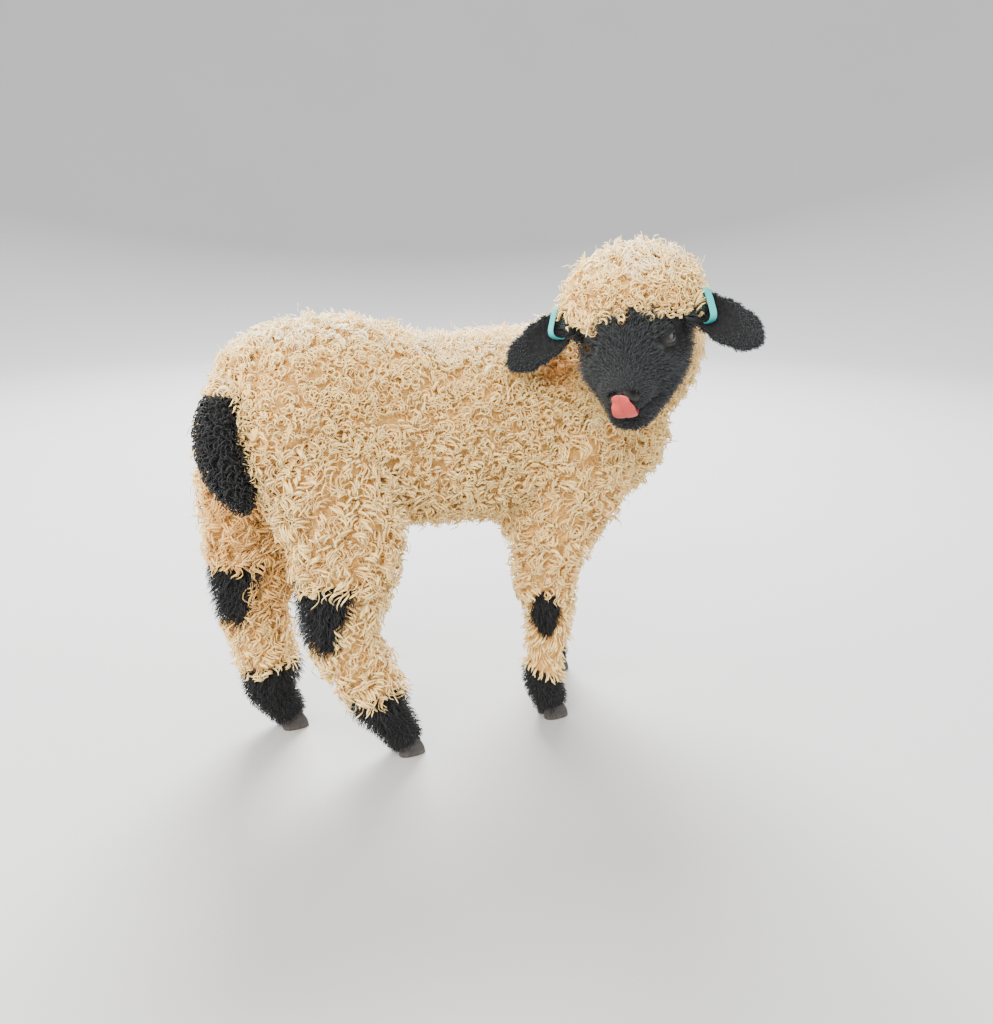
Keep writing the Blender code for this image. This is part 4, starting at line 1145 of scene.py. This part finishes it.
def curls(name, roots, look, dice, size=1.0, loose=0.0):
    """Ringlets of several strands each, which rise from the coat, coil together and close in at their tips.

    Strands of a bundle share their direction, turns and starting angle. They differ a little in length and
    thickness. Where the coat is short, low on the legs, they are longer for their depth and straighter.
    """
    number = len(roots["root"])
    normal, lie = roots["normal"], fleece_lie(roots)
    aside = np.cross(normal, lie)
    group = bundles(roots["root"], round(look.bundle_size))
    count = group.max() + 1
    totals = np.stack([np.bincount(group, roots["root"][:, axis], count) for axis in range(3)], axis=1)
    middle = (totals / np.bincount(group, minlength=count)[:, None])[group]
    roots["tone"] = coat_tone(roots, dice, group)

    def shared(values):
        return values[group]

    low = dice.random(number) < look.under_share
    swing = shared(dice.normal(0, 0.45, (count, 1))) + dice.normal(0, 0.14, (number, 1))
    rise = shared(dice.uniform(0.0, 0.7, (count, 1)))
    droop = shared(dice.uniform(0.5, 1.5, (count, 1))) * (1 - loose)
    stand = normal + lie * rise + aside * swing * 0.6
    lean = normal * droop + lie * (1.0 - droop * 0.4) + aside * swing
    depth = roots["coat"] * (1 - SKIN_SHARE)
    climb = depth * shared(dice.uniform(0.55, 0.95, count)) * dice.uniform(0.9, 1.1, number)
    climb = climb * np.where(low, 0.7, 1.0) * (1 + loose * 0.5) + 0.003
    radius = look.curl_radius * size * shared(dice.uniform(0.65, 1.35, count))
    radius = radius * dice.uniform(0.85, 1.15, number) * np.clip(roots["coat"] / FLEECE, 0.3, 1.1)
    hand = np.where(dice.random(count) < 0.5, -1.0, 1.0)
    turns = look.curl_turns * shared(dice.uniform(0.7, 1.3, count) * hand) * (1 - loose * 0.35)
    short = 1 - smoothstep(roots["coat"], 0.010, 0.016)
    climb = climb + short * 0.005
    radius = radius * (1 - short * 0.4)
    turns = turns * (1 - short * 0.6)
    start_angle = shared(dice.random(count)) * 2 * math.pi + dice.normal(0, 0.35, number)
    thick = look.strand_thickness * np.where(low, 1.9, 1.0) * dice.uniform(0.7, 1.3, number)
    drift = (middle - roots["root"]) * np.where(low, 0.0, look.closing_in)[:, None]
    stray = dice.random(number) < look.stray_share
    climb = climb * np.where(stray, 1.35, 1.0)
    thick = thick * np.where(stray, 0.6, 1.0)
    return locks(
        name, roots, lean, stand, climb, radius, turns, thick, CURL_RINGS, dice, 1.25, start_angle, drift
    )


def wisps(name, roots, dice):
    """Longer and straighter locks that stand clear of the coat's edge and sweep down."""
    number = len(roots["root"])
    # Painted highlight: these high tones turn the wisps' tips to the fleece's near-white highlight colour
    roots["tone"] = dice.uniform(0.9, 1.6, number)
    lie = fleece_lie(roots)
    aside = np.cross(roots["normal"], lie) * dice.normal(0, 0.35, (number, 1))
    lean = roots["normal"] * dice.uniform(0.1, 0.4, (number, 1)) + lie + aside
    climb = dice.uniform(0.013, 0.023, number)
    turns = dice.uniform(-0.6, 0.6, number)
    stand = roots["normal"] + lie * 0.5
    return locks(name, roots, lean, stand, climb, 0.0028, turns, 0.0007, WISP_RINGS, dice, 1.2)


def tufts(name, roots, lie, length, thick, dice, stand, curl=0.18):
    """Short wool: slightly curved points that rise from the skin and follow the lie."""
    number = len(roots["root"])
    normal = roots["normal"]
    aside = np.cross(normal, lie)
    shake = dice.normal(0, 0.28, (number, 1))
    first = normal + lie * (1 - stand) * 0.8 + aside * shake
    last = normal * stand * dice.uniform(0.5, 1.2, (number, 1)) + lie + aside * shake * 1.5
    length = length * dice.uniform(0.7, 1.2, number)
    turns = dice.uniform(0.2, 0.6, number)
    return locks(name, roots, last, first, length, length * curl, turns, thick, TUFT_RINGS, dice)


def face_wool(look, skin, dice):
    """Tufts combed back and outwards over the black face, short round the eyes and off the bare leather."""
    roots = gather_roots(["head", "jaw", "cap"], look.face_spacing, skin, dice)
    roots = choose(roots, roots["dark"] >= 0.5)
    place = to_head(roots["root"])
    from_eye = np.full(len(place), 9.0)
    for eye in eye_frames().values():
        almond, _, far, ahead = almond_at(place, *eye)
        from_eye = np.where((far < 0.026) & (ahead > 0), np.minimum(from_eye, almond), from_eye)
    nose = nose_oval(place) < 0.95
    lips = (np.abs(place[:, 2] - MOUTH_HEIGHT) < 0.0025) & (place[:, 0] > 0.06)
    keep = (from_eye > 1.5) & ~nose & ~lips
    roots, place, from_eye = choose(roots, keep), place[keep], from_eye[keep]
    backward = np.tile(-HEAD_AXES[:, 0] - HEAD_AXES[:, 2] * 0.3, (len(place), 1))
    outward = HEAD_AXES[:, 1][None] * np.sign(place[:, 1:2])
    normal = roots["normal"]
    lie = unit(sideways(backward, normal) + sideways(outward, normal) * 0.5 + 1e-6)
    length = 0.0020 + roots["coat"] * 0.62
    length = length * (0.30 + 0.70 * smoothstep(from_eye, 1.4, 4.0))
    return tufts("wool_face", roots, lie, length, 0.00030, dice, stand=0.7, curl=0.22)


def ear_wool(skin, dice):
    """Short wool that lies along the ears."""
    roots = gather_roots(["ear_left", "ear_right"], EAR_WOOL_SPACING, skin, dice)
    lie = unit(sideways(roots["along"], roots["normal"]) + 1e-6)
    return tufts("wool_ears", roots, lie, 0.0042, 0.00030, dice, stand=0.22)


def foot_wool(skin, dice):
    """Black wool of knees, hocks and feet, combed down."""
    roots = gather_roots(["leg_" + name for name in FOOT_PLACES], FOOT_WOOL_SPACING, skin, dice)
    roots = choose(roots, roots["dark"] >= 0.5)
    down = np.tile((0.1, 0.0, -1.0), (len(roots["root"]), 1))
    lie = unit(sideways(down, roots["normal"]) + 1e-6)
    length = 0.004 + roots["coat"] * 0.55
    return tufts("wool_feet", roots, lie, length, 0.00040, dice, stand=0.6, curl=0.2)


def tail_wool(skin, dice):
    """Loose black curls that hang along the tail."""
    roots = gather_roots(["tail"], TAIL_WOOL_SPACING, skin, dice)
    roots = choose(roots, roots["dark"] >= 0.5)
    lie = unit(sideways(roots["along"], roots["normal"]) + 1e-6)
    aside = np.cross(roots["normal"], lie) * dice.normal(0, 0.5, (len(lie), 1))
    lean = roots["normal"] * 0.35 + lie + aside
    stand = roots["normal"] + aside * 0.5
    climb = 0.004 + roots["coat"] * 0.55
    return locks("wool_tail", roots, lean, stand, climb, 0.0024, 1.0, 0.00075, CURL_RINGS, dice)


# Solid small pieces


def eye_mesh(name):
    """A ball turned about the line of sight, whose front swells by a bell curve into the clear cornea."""
    centre, sight, level, upright = eye_frames()[name]
    polar = np.linspace(0, math.pi, 41)[:, None]
    round_it = round_angles(48)[None]
    reach = EYE_RADIUS * (1 + 0.05 * bell(polar, 0.42))
    across = np.sin(polar) * np.cos(round_it)
    rise = np.sin(polar) * np.sin(round_it)
    ahead = np.cos(polar) + 0 * round_it
    ways = across[..., None] * level + rise[..., None] * upright + ahead[..., None] * sight
    points = centre + reach[..., None] * ways
    mesh = grid_mesh("eye_ball_" + name, from_head(points))
    weld(mesh)
    offset = to_head(mesh_points(mesh)) - centre
    set_value(mesh, "across", np.where(offset @ sight > 0, offset @ level / IRIS_RADIUS, 3))
    set_value(mesh, "rise", np.where(offset @ sight > 0, offset @ upright / IRIS_RADIUS, 3))
    return mesh


def tongue_mesh():
    """A flattened tube out of the mouth and up over the lip, with a bell-shaped groove along its middle."""
    aside = -0.0020
    lip = HEAD_LENGTH * 0.79
    rows = [
        row(lip - 0.040, 0, -0.0335, 0.0085, 0.0022),
        row(lip - 0.016, 0, -0.0330, 0.0095, 0.0024),
        row(lip + 0.000, 0, -0.0318, 0.0106, 0.0026),
        row(lip + 0.0102, 0, -0.0262, 0.0115, 0.0027),
        row(lip + 0.0125, aside * 0.3, -0.0162, 0.0115, 0.0026),
        row(lip + 0.0120, aside, -0.0082, 0.0100, 0.0022),
    ]
    tube = Tube(rows, (-0.45, 0, 0.9), 60, in_head=True)
    columns = 40
    grid, which = tube.grid(0, columns, 6)
    angles = round_angles(columns)
    across = np.cos(angles)[None] * tube.wide[which][:, None]
    groove = bell(across, 0.0017) * smoothstep(np.arange(len(which)), 4, 14)[:, None]
    inward = groove * 0.0007 * np.sign(np.sin(angles))[None]
    grid = grid - tube.up[which][:, None] * inward[..., None]
    mesh = grid_mesh("tongue_flesh", grid)
    set_value(mesh, "groove", groove.ravel())
    weld(mesh)
    return mesh


def tag_mesh(side_sign, name):
    """A flat band carried round a drop-shaped loop.

    The path's cosine and sine are squared off by a power of 0.75, and its depth shrinks with the cosine
    towards the ear's edge. The band's own section is a rounded oblong.
    """
    fine = smooth_rows([r[:3] + r[3:4] + r[7:8] for r in ear_rows(1)], 11)
    steps = unit(np.gradient(fine[:, :3], axis=0))
    along = steps[4]
    face = unit(EAR_FACE - along * (along @ EAR_FACE))
    upward = np.cross(face, along)
    length_way = unit(upward - along)
    depth_way = unit(face * math.sqrt(2) + along + upward)
    broad_way = np.cross(depth_way, length_way)
    centre = fine[4, :3] + upward * 0.0045 - along * 0.001
    angle = round_angles(96)[:, None]
    run = squared_off(np.cos(angle), 0.75) * TAG_HALF_LENGTH
    rise = squared_off(np.sin(angle), 0.75) * TAG_HALF_DEPTH * (0.62 - 0.38 * np.cos(angle))
    path = centre + length_way * run + depth_way * rise
    way = unit(np.roll(path, -1, axis=0) - np.roll(path, 1, axis=0))
    out = np.cross(way, broad_way)
    section = round_angles(20)[None]
    broad = squared_off(np.cos(section), 0.35) * TAG_HALF_WIDTH
    thick = squared_off(np.sin(section), 0.5) * TAG_HALF_THICKNESS
    grid = path[:, None] + broad_way * broad[..., None] + out[:, None] * thick[..., None]
    grid = grid * np.array((1, side_sign, 1))
    mesh = grid_mesh(name, from_head(grid), closed_along=True)
    weld(mesh)
    return mesh


def claw_mesh(foot, place, outward):
    """One claw: rounded sections from flat sole to coronet, with fine growth rings as small sine waves."""
    x, y = FOOT_PLACES[foot]
    top = CLAW_HEIGHT - 0.0003
    rows = [
        row(0, 0, 0.0, 0.0078, 0.0185, 0.0130),
        row(0, 0, top * 0.35, 0.0080, 0.0165, 0.0135),
        row(0, 0, top * 0.70, 0.0078, 0.0120, 0.0140),
        row(0, 0, top, 0.0070, 0.0070, 0.0140),
    ]
    fine = smooth_rows(rows, 25)
    height = fine[:, 2:3]
    angle = round_angles(32)[None]
    forward = np.where(np.sin(angle) > 0, fine[:, 4:5], fine[:, 5:6]) * np.sin(angle)
    aside = -fine[:, 3:4] * squared_off(np.cos(angle), 0.85)
    ring = 1 - 0.012 * (0.5 + 0.5 * np.sin(height * 2 * math.pi / GROWTH_RING))
    ring[0] = 0.985
    grid = np.stack([forward * ring, aside * ring, height + 0 * angle], axis=-1)
    grid = grid @ rotation("Z", outward * 3).T
    grid = grid + SHIFT + (x + CLAW_FORWARD, y + outward * CLAW_SPREAD, 0)
    grid[..., 2] = height
    mesh = grid_mesh(f"horn_{foot}_{place}", grid, capped=True)
    weld(mesh)
    set_value(mesh, "height", mesh_points(mesh)[:, 2] / CLAW_HEIGHT)
    return mesh


# Stage


def floor_mesh():
    """A flat disc whose rim curves up as a quarter of an oval."""
    turn = np.linspace(0, math.pi / 2, 25)[1:]
    radius = np.concatenate([np.linspace(0, 3.4, 8), 3.4 + 2.0 * np.sin(turn)])[:, None]
    height = np.concatenate([np.zeros(8), 2.4 * (1 - np.cos(turn))])[:, None] - 0.0004
    angle = round_angles(96)[None]
    grid = np.stack([radius * np.cos(angle), radius * np.sin(angle), height + 0 * angle], axis=-1)
    mesh = grid_mesh("floor", grid)
    weld(mesh)
    if mesh.polygons[0].normal.z < 0:
        mesh.flip_normals()
    return mesh


def light_stage(scene):
    scene.world = bpy.data.worlds.new("studio")
    scene.world.use_nodes = True
    sky = scene.world.node_tree.nodes["Background"].inputs
    sky["Color"].default_value = SKY
    sky["Strength"].default_value = SKY_STRENGTH
    for name, place, size, power, tint in LAMPS:
        light = bpy.data.lights.new(name, "AREA")
        light.size = size
        light.energy = power
        light.color = tint
        lamp = new_piece(name, light)
        lamp.location = place
        lamp.rotation_euler = (Vector(LAMP_TARGET) - Vector(place)).to_track_quat("-Z", "Y").to_euler()


def set_camera(scene):
    lens = bpy.data.cameras.new("camera")
    lens.lens = CAMERA_LENS
    camera = new_piece("camera", lens)
    pitch = math.radians(CAMERA_PITCH)
    forward = np.array(CAMERA_HEADING) * math.cos(pitch) - np.array((0, 0, math.sin(pitch)))
    right = unit(np.cross(forward, (0, 0, 1)))
    stance = np.eye(4)
    stance[:3, :3] = np.column_stack([right, np.cross(right, forward), -forward])
    stance[:3, 3] = np.array(CAMERA_PLACE) + SHIFT
    camera.matrix_world = Matrix(stance.tolist())
    scene.camera = camera


# Add-on


def length_setting(name, description, default):
    return FloatProperty(name=name, description=description, default=default, unit="LENGTH", precision=5)


def share_setting(name, description, default):
    return FloatProperty(name=name, description=description, default=default, min=0, max=1)


def colour_setting(name, description, default):
    return FloatVectorProperty(name=name, description=description, default=default, subtype="COLOR")


class LambLook(bpy.types.PropertyGroup):
    """Sizes and colours of the lamb's coat and finishes."""

    skin_detail: length_setting("Skin detail", "Size of the skin's mesh cells", 0.00368)
    curl_spacing: length_setting("Curl spacing", "Distance between neighbouring curls", 0.0046)
    bundle_size: FloatProperty(
        name="Strands in a curl", description="Strands that coil together", default=4.0, min=1
    )
    closing_in: share_setting("Closing in", "How far a curl's strands meet at its tip", 0.6)
    curl_radius: length_setting("Curl radius", "Radius of an average ringlet", 0.0039)
    curl_turns: FloatProperty(name="Curl turns", description="Turns in an average ringlet", default=1.25)
    under_share: share_setting("Under-wool share", "Share of low, broad curls", 0.30)
    stray_share: share_setting("Stray share", "Share of thin curls that stand clear of the coat", 0.07)
    strand_thickness: length_setting("Strand thickness", "Half thickness of a lock", 0.00077)
    face_spacing: length_setting("Face wool spacing", "Distance between tufts on the face", 0.00185)
    fleece_tip: colour_setting("Fleece tips", "Colour of the curls' tips", (0.98, 0.715, 0.275))
    # Painted highlight: the near-white colour of tips that face up and of the wisps
    fleece_painted_highlight: colour_setting("Fleece painted highlight", "Colour of the tips on the back", (0.96, 0.86, 0.64))
    fleece_root: colour_setting("Fleece roots", "Colour lower down a curl", (0.83, 0.475, 0.12))
    fleece_rust: colour_setting("Fleece rust", "Warmer patches in the fleece", (0.76, 0.36, 0.075))
    # Painted shade: the darker colour of the under-wool seen between the curls
    fleece_painted_shade: colour_setting("Fleece painted shade", "Colour between the curls", (0.52, 0.29, 0.085))
    black_root: colour_setting("Black wool", "Colour of the black wool", (0.005, 0.0052, 0.006))
    # Partly the tips' own colour and partly painted light: its blue tint stands in for sky light on the black
    # wool
    black_tip_and_sky_light: colour_setting("Black wool tips", "Colour of its tips", (0.056, 0.066, 0.073))
    tongue: colour_setting("Tongue", "Colour of the tongue", (0.50, 0.042, 0.033))
    tag: colour_setting("Ear tags", "Colour of the plastic bands", (0.03, 0.38, 0.38))
    horn: colour_setting("Claws", "Colour of the horn", (0.020, 0.018, 0.017))
    floor: colour_setting("Floor", "Colour of the studio floor", (0.40, 0.397, 0.39))


class LAMB_OT_skin(bpy.types.Operator):
    """Builds the seamless skin with lids, nostrils and lips"""

    bl_idname = "lamb.skin"
    bl_label = "Skin"

    def execute(self, context):
        look = context.scene.lamb_look
        skin = build_skin(look.skin_detail)
        flesh = ["torso", "neck", "head", "topknot", "tail", "ear_left", "ear_right"]
        flesh += ["leg_" + name for name in FOOT_PLACES]
        place_piece(skin, "fleece", skin_finish(look), *flesh)
        return {"FINISHED"}


class LAMB_OT_fleece(bpy.types.Operator):
    """Grows the cream fleece as solid curls, in several pieces"""

    bl_idname = "lamb.fleece"
    bl_label = "Fleece"

    def execute(self, context):
        look = context.scene.lamb_look
        skin = bpy.data.objects["skin"]
        dice = np.random.default_rng(21)
        finish = fleece_finish(look)
        spacing = look.curl_spacing
        trunk = gather_roots(["trunk"], spacing, skin, dice)
        x = trunk["root"][:, 0] - SHIFT[0]
        for name, low, high in zip(("rump", "loin", "ribs", "breast"), TRUNK_CUTS, TRUNK_CUTS[1:]):
            curls_here = choose(trunk, (x >= low) & (x < high))
            place_piece(curls("fleece_" + name, curls_here, look, dice), "fleece", finish)
        groups = [
            ("fleece_topknot", ["cap", "head"], 1.05, 0.0, spacing * 0.86),
            ("fleece_tail_head", ["tail"], 1.0, 0.0, spacing),
        ]
        for end, size, loose in (("front", 1.15, 0.5), ("hind", 1.2, 0.6)):
            for side in ("left", "right"):
                group = (f"fleece_{end}_leg_{side}", [f"leg_{end}_{side}"], size, loose, spacing * 1.04)
                groups.append(group)
        for name, parts, size, loose, gap in groups:
            roots = gather_roots(parts, gap, skin, dice)
            roots = choose(roots, roots["dark"] < 0.5)
            roots["coat"] = np.where(roots["part"] == "head", FLEECE * 0.8, roots["coat"])
            roots["coat"] = np.where(roots["part"] == "tail", FLEECE * 0.9, roots["coat"])
            place_piece(curls(name, roots, look, dice, size, loose), "fleece", finish)
        neck = gather_roots(["neck"], spacing, skin, dice)
        low_half = neck["root"][:, 0] - SHIFT[0] + neck["root"][:, 2] < NECK_CUT
        for name, half in (("fleece_throat", low_half), ("fleece_nape", ~low_half)):
            place_piece(curls(name, choose(neck, half), look, dice), "fleece", finish)
        edges = gather_roots(["trunk", "neck", "leg_hind_left", "leg_hind_right"], spacing * 1.9, skin, dice)
        ahead = edges["normal"][:, 0] > 0.45
        height = edges["root"][:, 2]
        on_leg = np.isin(edges["part"], ("leg_hind_left", "leg_hind_right"))
        edge = ahead & np.where(on_leg, height < 0.25, height > 0.30) & (edges["dark"] < 0.5)
        place_piece(wisps("fleece_wisps", choose(edges, edge), dice), "fleece", finish)
        return {"FINISHED"}


class LAMB_OT_black_wool(bpy.types.Operator):
    """Grows the short black wool of face, ears, knees, hocks and feet, and the tail's black curls"""

    bl_idname = "lamb.black_wool"
    bl_label = "Black wool"

    def execute(self, context):
        look = context.scene.lamb_look
        skin = bpy.data.objects["skin"]
        dice = np.random.default_rng(22)
        soft = black_wool_finish(look, "black_wool", 1.0)
        deep = black_wool_finish(look, "deep_black_wool", 0.25)
        # Painted light: the ears take 1.5 times the share of the pale bluish tips, standing in for back light
        # on them
        backlit_ears_finish = black_wool_finish(look, "backlit_black_wool", 1.5)
        place_piece(face_wool(look, skin, dice), "black_wool", soft)
        place_piece(ear_wool(skin, dice), "black_wool", backlit_ears_finish)
        place_piece(foot_wool(skin, dice), "black_wool", deep)
        place_piece(tail_wool(skin, dice), "black_wool", deep)
        return {"FINISHED"}


class LAMB_OT_eyes(bpy.types.Operator):
    """Makes the eyes with level pupils"""

    bl_idname = "lamb.eyes"
    bl_label = "Eyes"

    def execute(self, context):
        finish = eye_finish()
        for name in ("left", "right"):
            place_piece(new_piece("eye_ball_" + name, eye_mesh(name)), "eye", finish, "eye_" + name)
        return {"FINISHED"}


class LAMB_OT_tongue(bpy.types.Operator):
    """Makes the tongue that licks the upper lip"""

    bl_idname = "lamb.tongue"
    bl_label = "Tongue"

    def execute(self, context):
        finish = tongue_finish(context.scene.lamb_look)
        place_piece(new_piece("tongue_flesh", tongue_mesh()), "tongue", finish, "tongue")
        return {"FINISHED"}


class LAMB_OT_tags(bpy.types.Operator):
    """Makes the plain band in each ear"""

    bl_idname = "lamb.tags"
    bl_label = "Ear tags"

    def execute(self, context):
        finish = tag_finish(context.scene.lamb_look)
        for name, side_sign in (("left", 1), ("right", -1)):
            piece = new_piece("tag_band_" + name, tag_mesh(side_sign, "tag_band_" + name))
            place_piece(piece, "ear_tag", finish, "ear_tag_" + name)
        return {"FINISHED"}


class LAMB_OT_claws(bpy.types.Operator):
    """Makes the two claws of each foot"""

    bl_idname = "lamb.claws"
    bl_label = "Claws"

    def execute(self, context):
        finish = claw_finish(context.scene.lamb_look)
        for foot, (_, y) in FOOT_PLACES.items():
            for place, shift in (("inner", -1), ("outer", 1)):
                outward = shift * (1 if y > 0 else -1)
                piece = new_piece(f"horn_{foot}_{place}", claw_mesh(foot, place, outward))
                place_piece(piece, "horn", finish, f"claw_{foot}_{place}")
        return {"FINISHED"}


class LAMB_OT_stage(bpy.types.Operator):
    """Sets the floor, the lights and the camera"""

    bl_idname = "lamb.stage"
    bl_label = "Stage"

    def execute(self, context):
        floor = new_piece("floor", floor_mesh())
        floor.data.materials.append(floor_finish(context.scene.lamb_look))
        light_stage(context.scene)
        set_camera(context.scene)
        return {"FINISHED"}


STEPS = (
    LAMB_OT_skin,
    LAMB_OT_fleece,
    LAMB_OT_black_wool,
    LAMB_OT_eyes,
    LAMB_OT_tongue,
    LAMB_OT_tags,
    LAMB_OT_claws,
    LAMB_OT_stage,
)


class LAMB_PT_panel(bpy.types.Panel):
    """Lists the steps and the settings they read"""

    bl_idname = "LAMB_PT_panel"
    bl_label = "Curly Lamb"
    bl_space_type = "VIEW_3D"
    bl_region_type = "UI"
    bl_category = "Lamb"

    def draw(self, context):
        for step in STEPS:
            self.layout.operator(step.bl_idname)
        for name in LambLook.__annotations__:
            self.layout.prop(context.scene.lamb_look, name)


def register():
    for kind in (LambLook, *STEPS, LAMB_PT_panel):
        bpy.utils.register_class(kind)
    bpy.types.Scene.lamb_look = PointerProperty(type=LambLook)


def unregister():
    del bpy.types.Scene.lamb_look
    for kind in (LAMB_PT_panel, *reversed(STEPS), LambLook):
        bpy.utils.unregister_class(kind)


def main():
    register()
    bpy.ops.lamb.skin()
    bpy.ops.lamb.fleece()
    bpy.ops.lamb.black_wool()
    bpy.ops.lamb.eyes()
    bpy.ops.lamb.tongue()
    bpy.ops.lamb.tags()
    bpy.ops.lamb.claws()
    bpy.ops.lamb.stage()


if __name__ == "__main__":
    main()
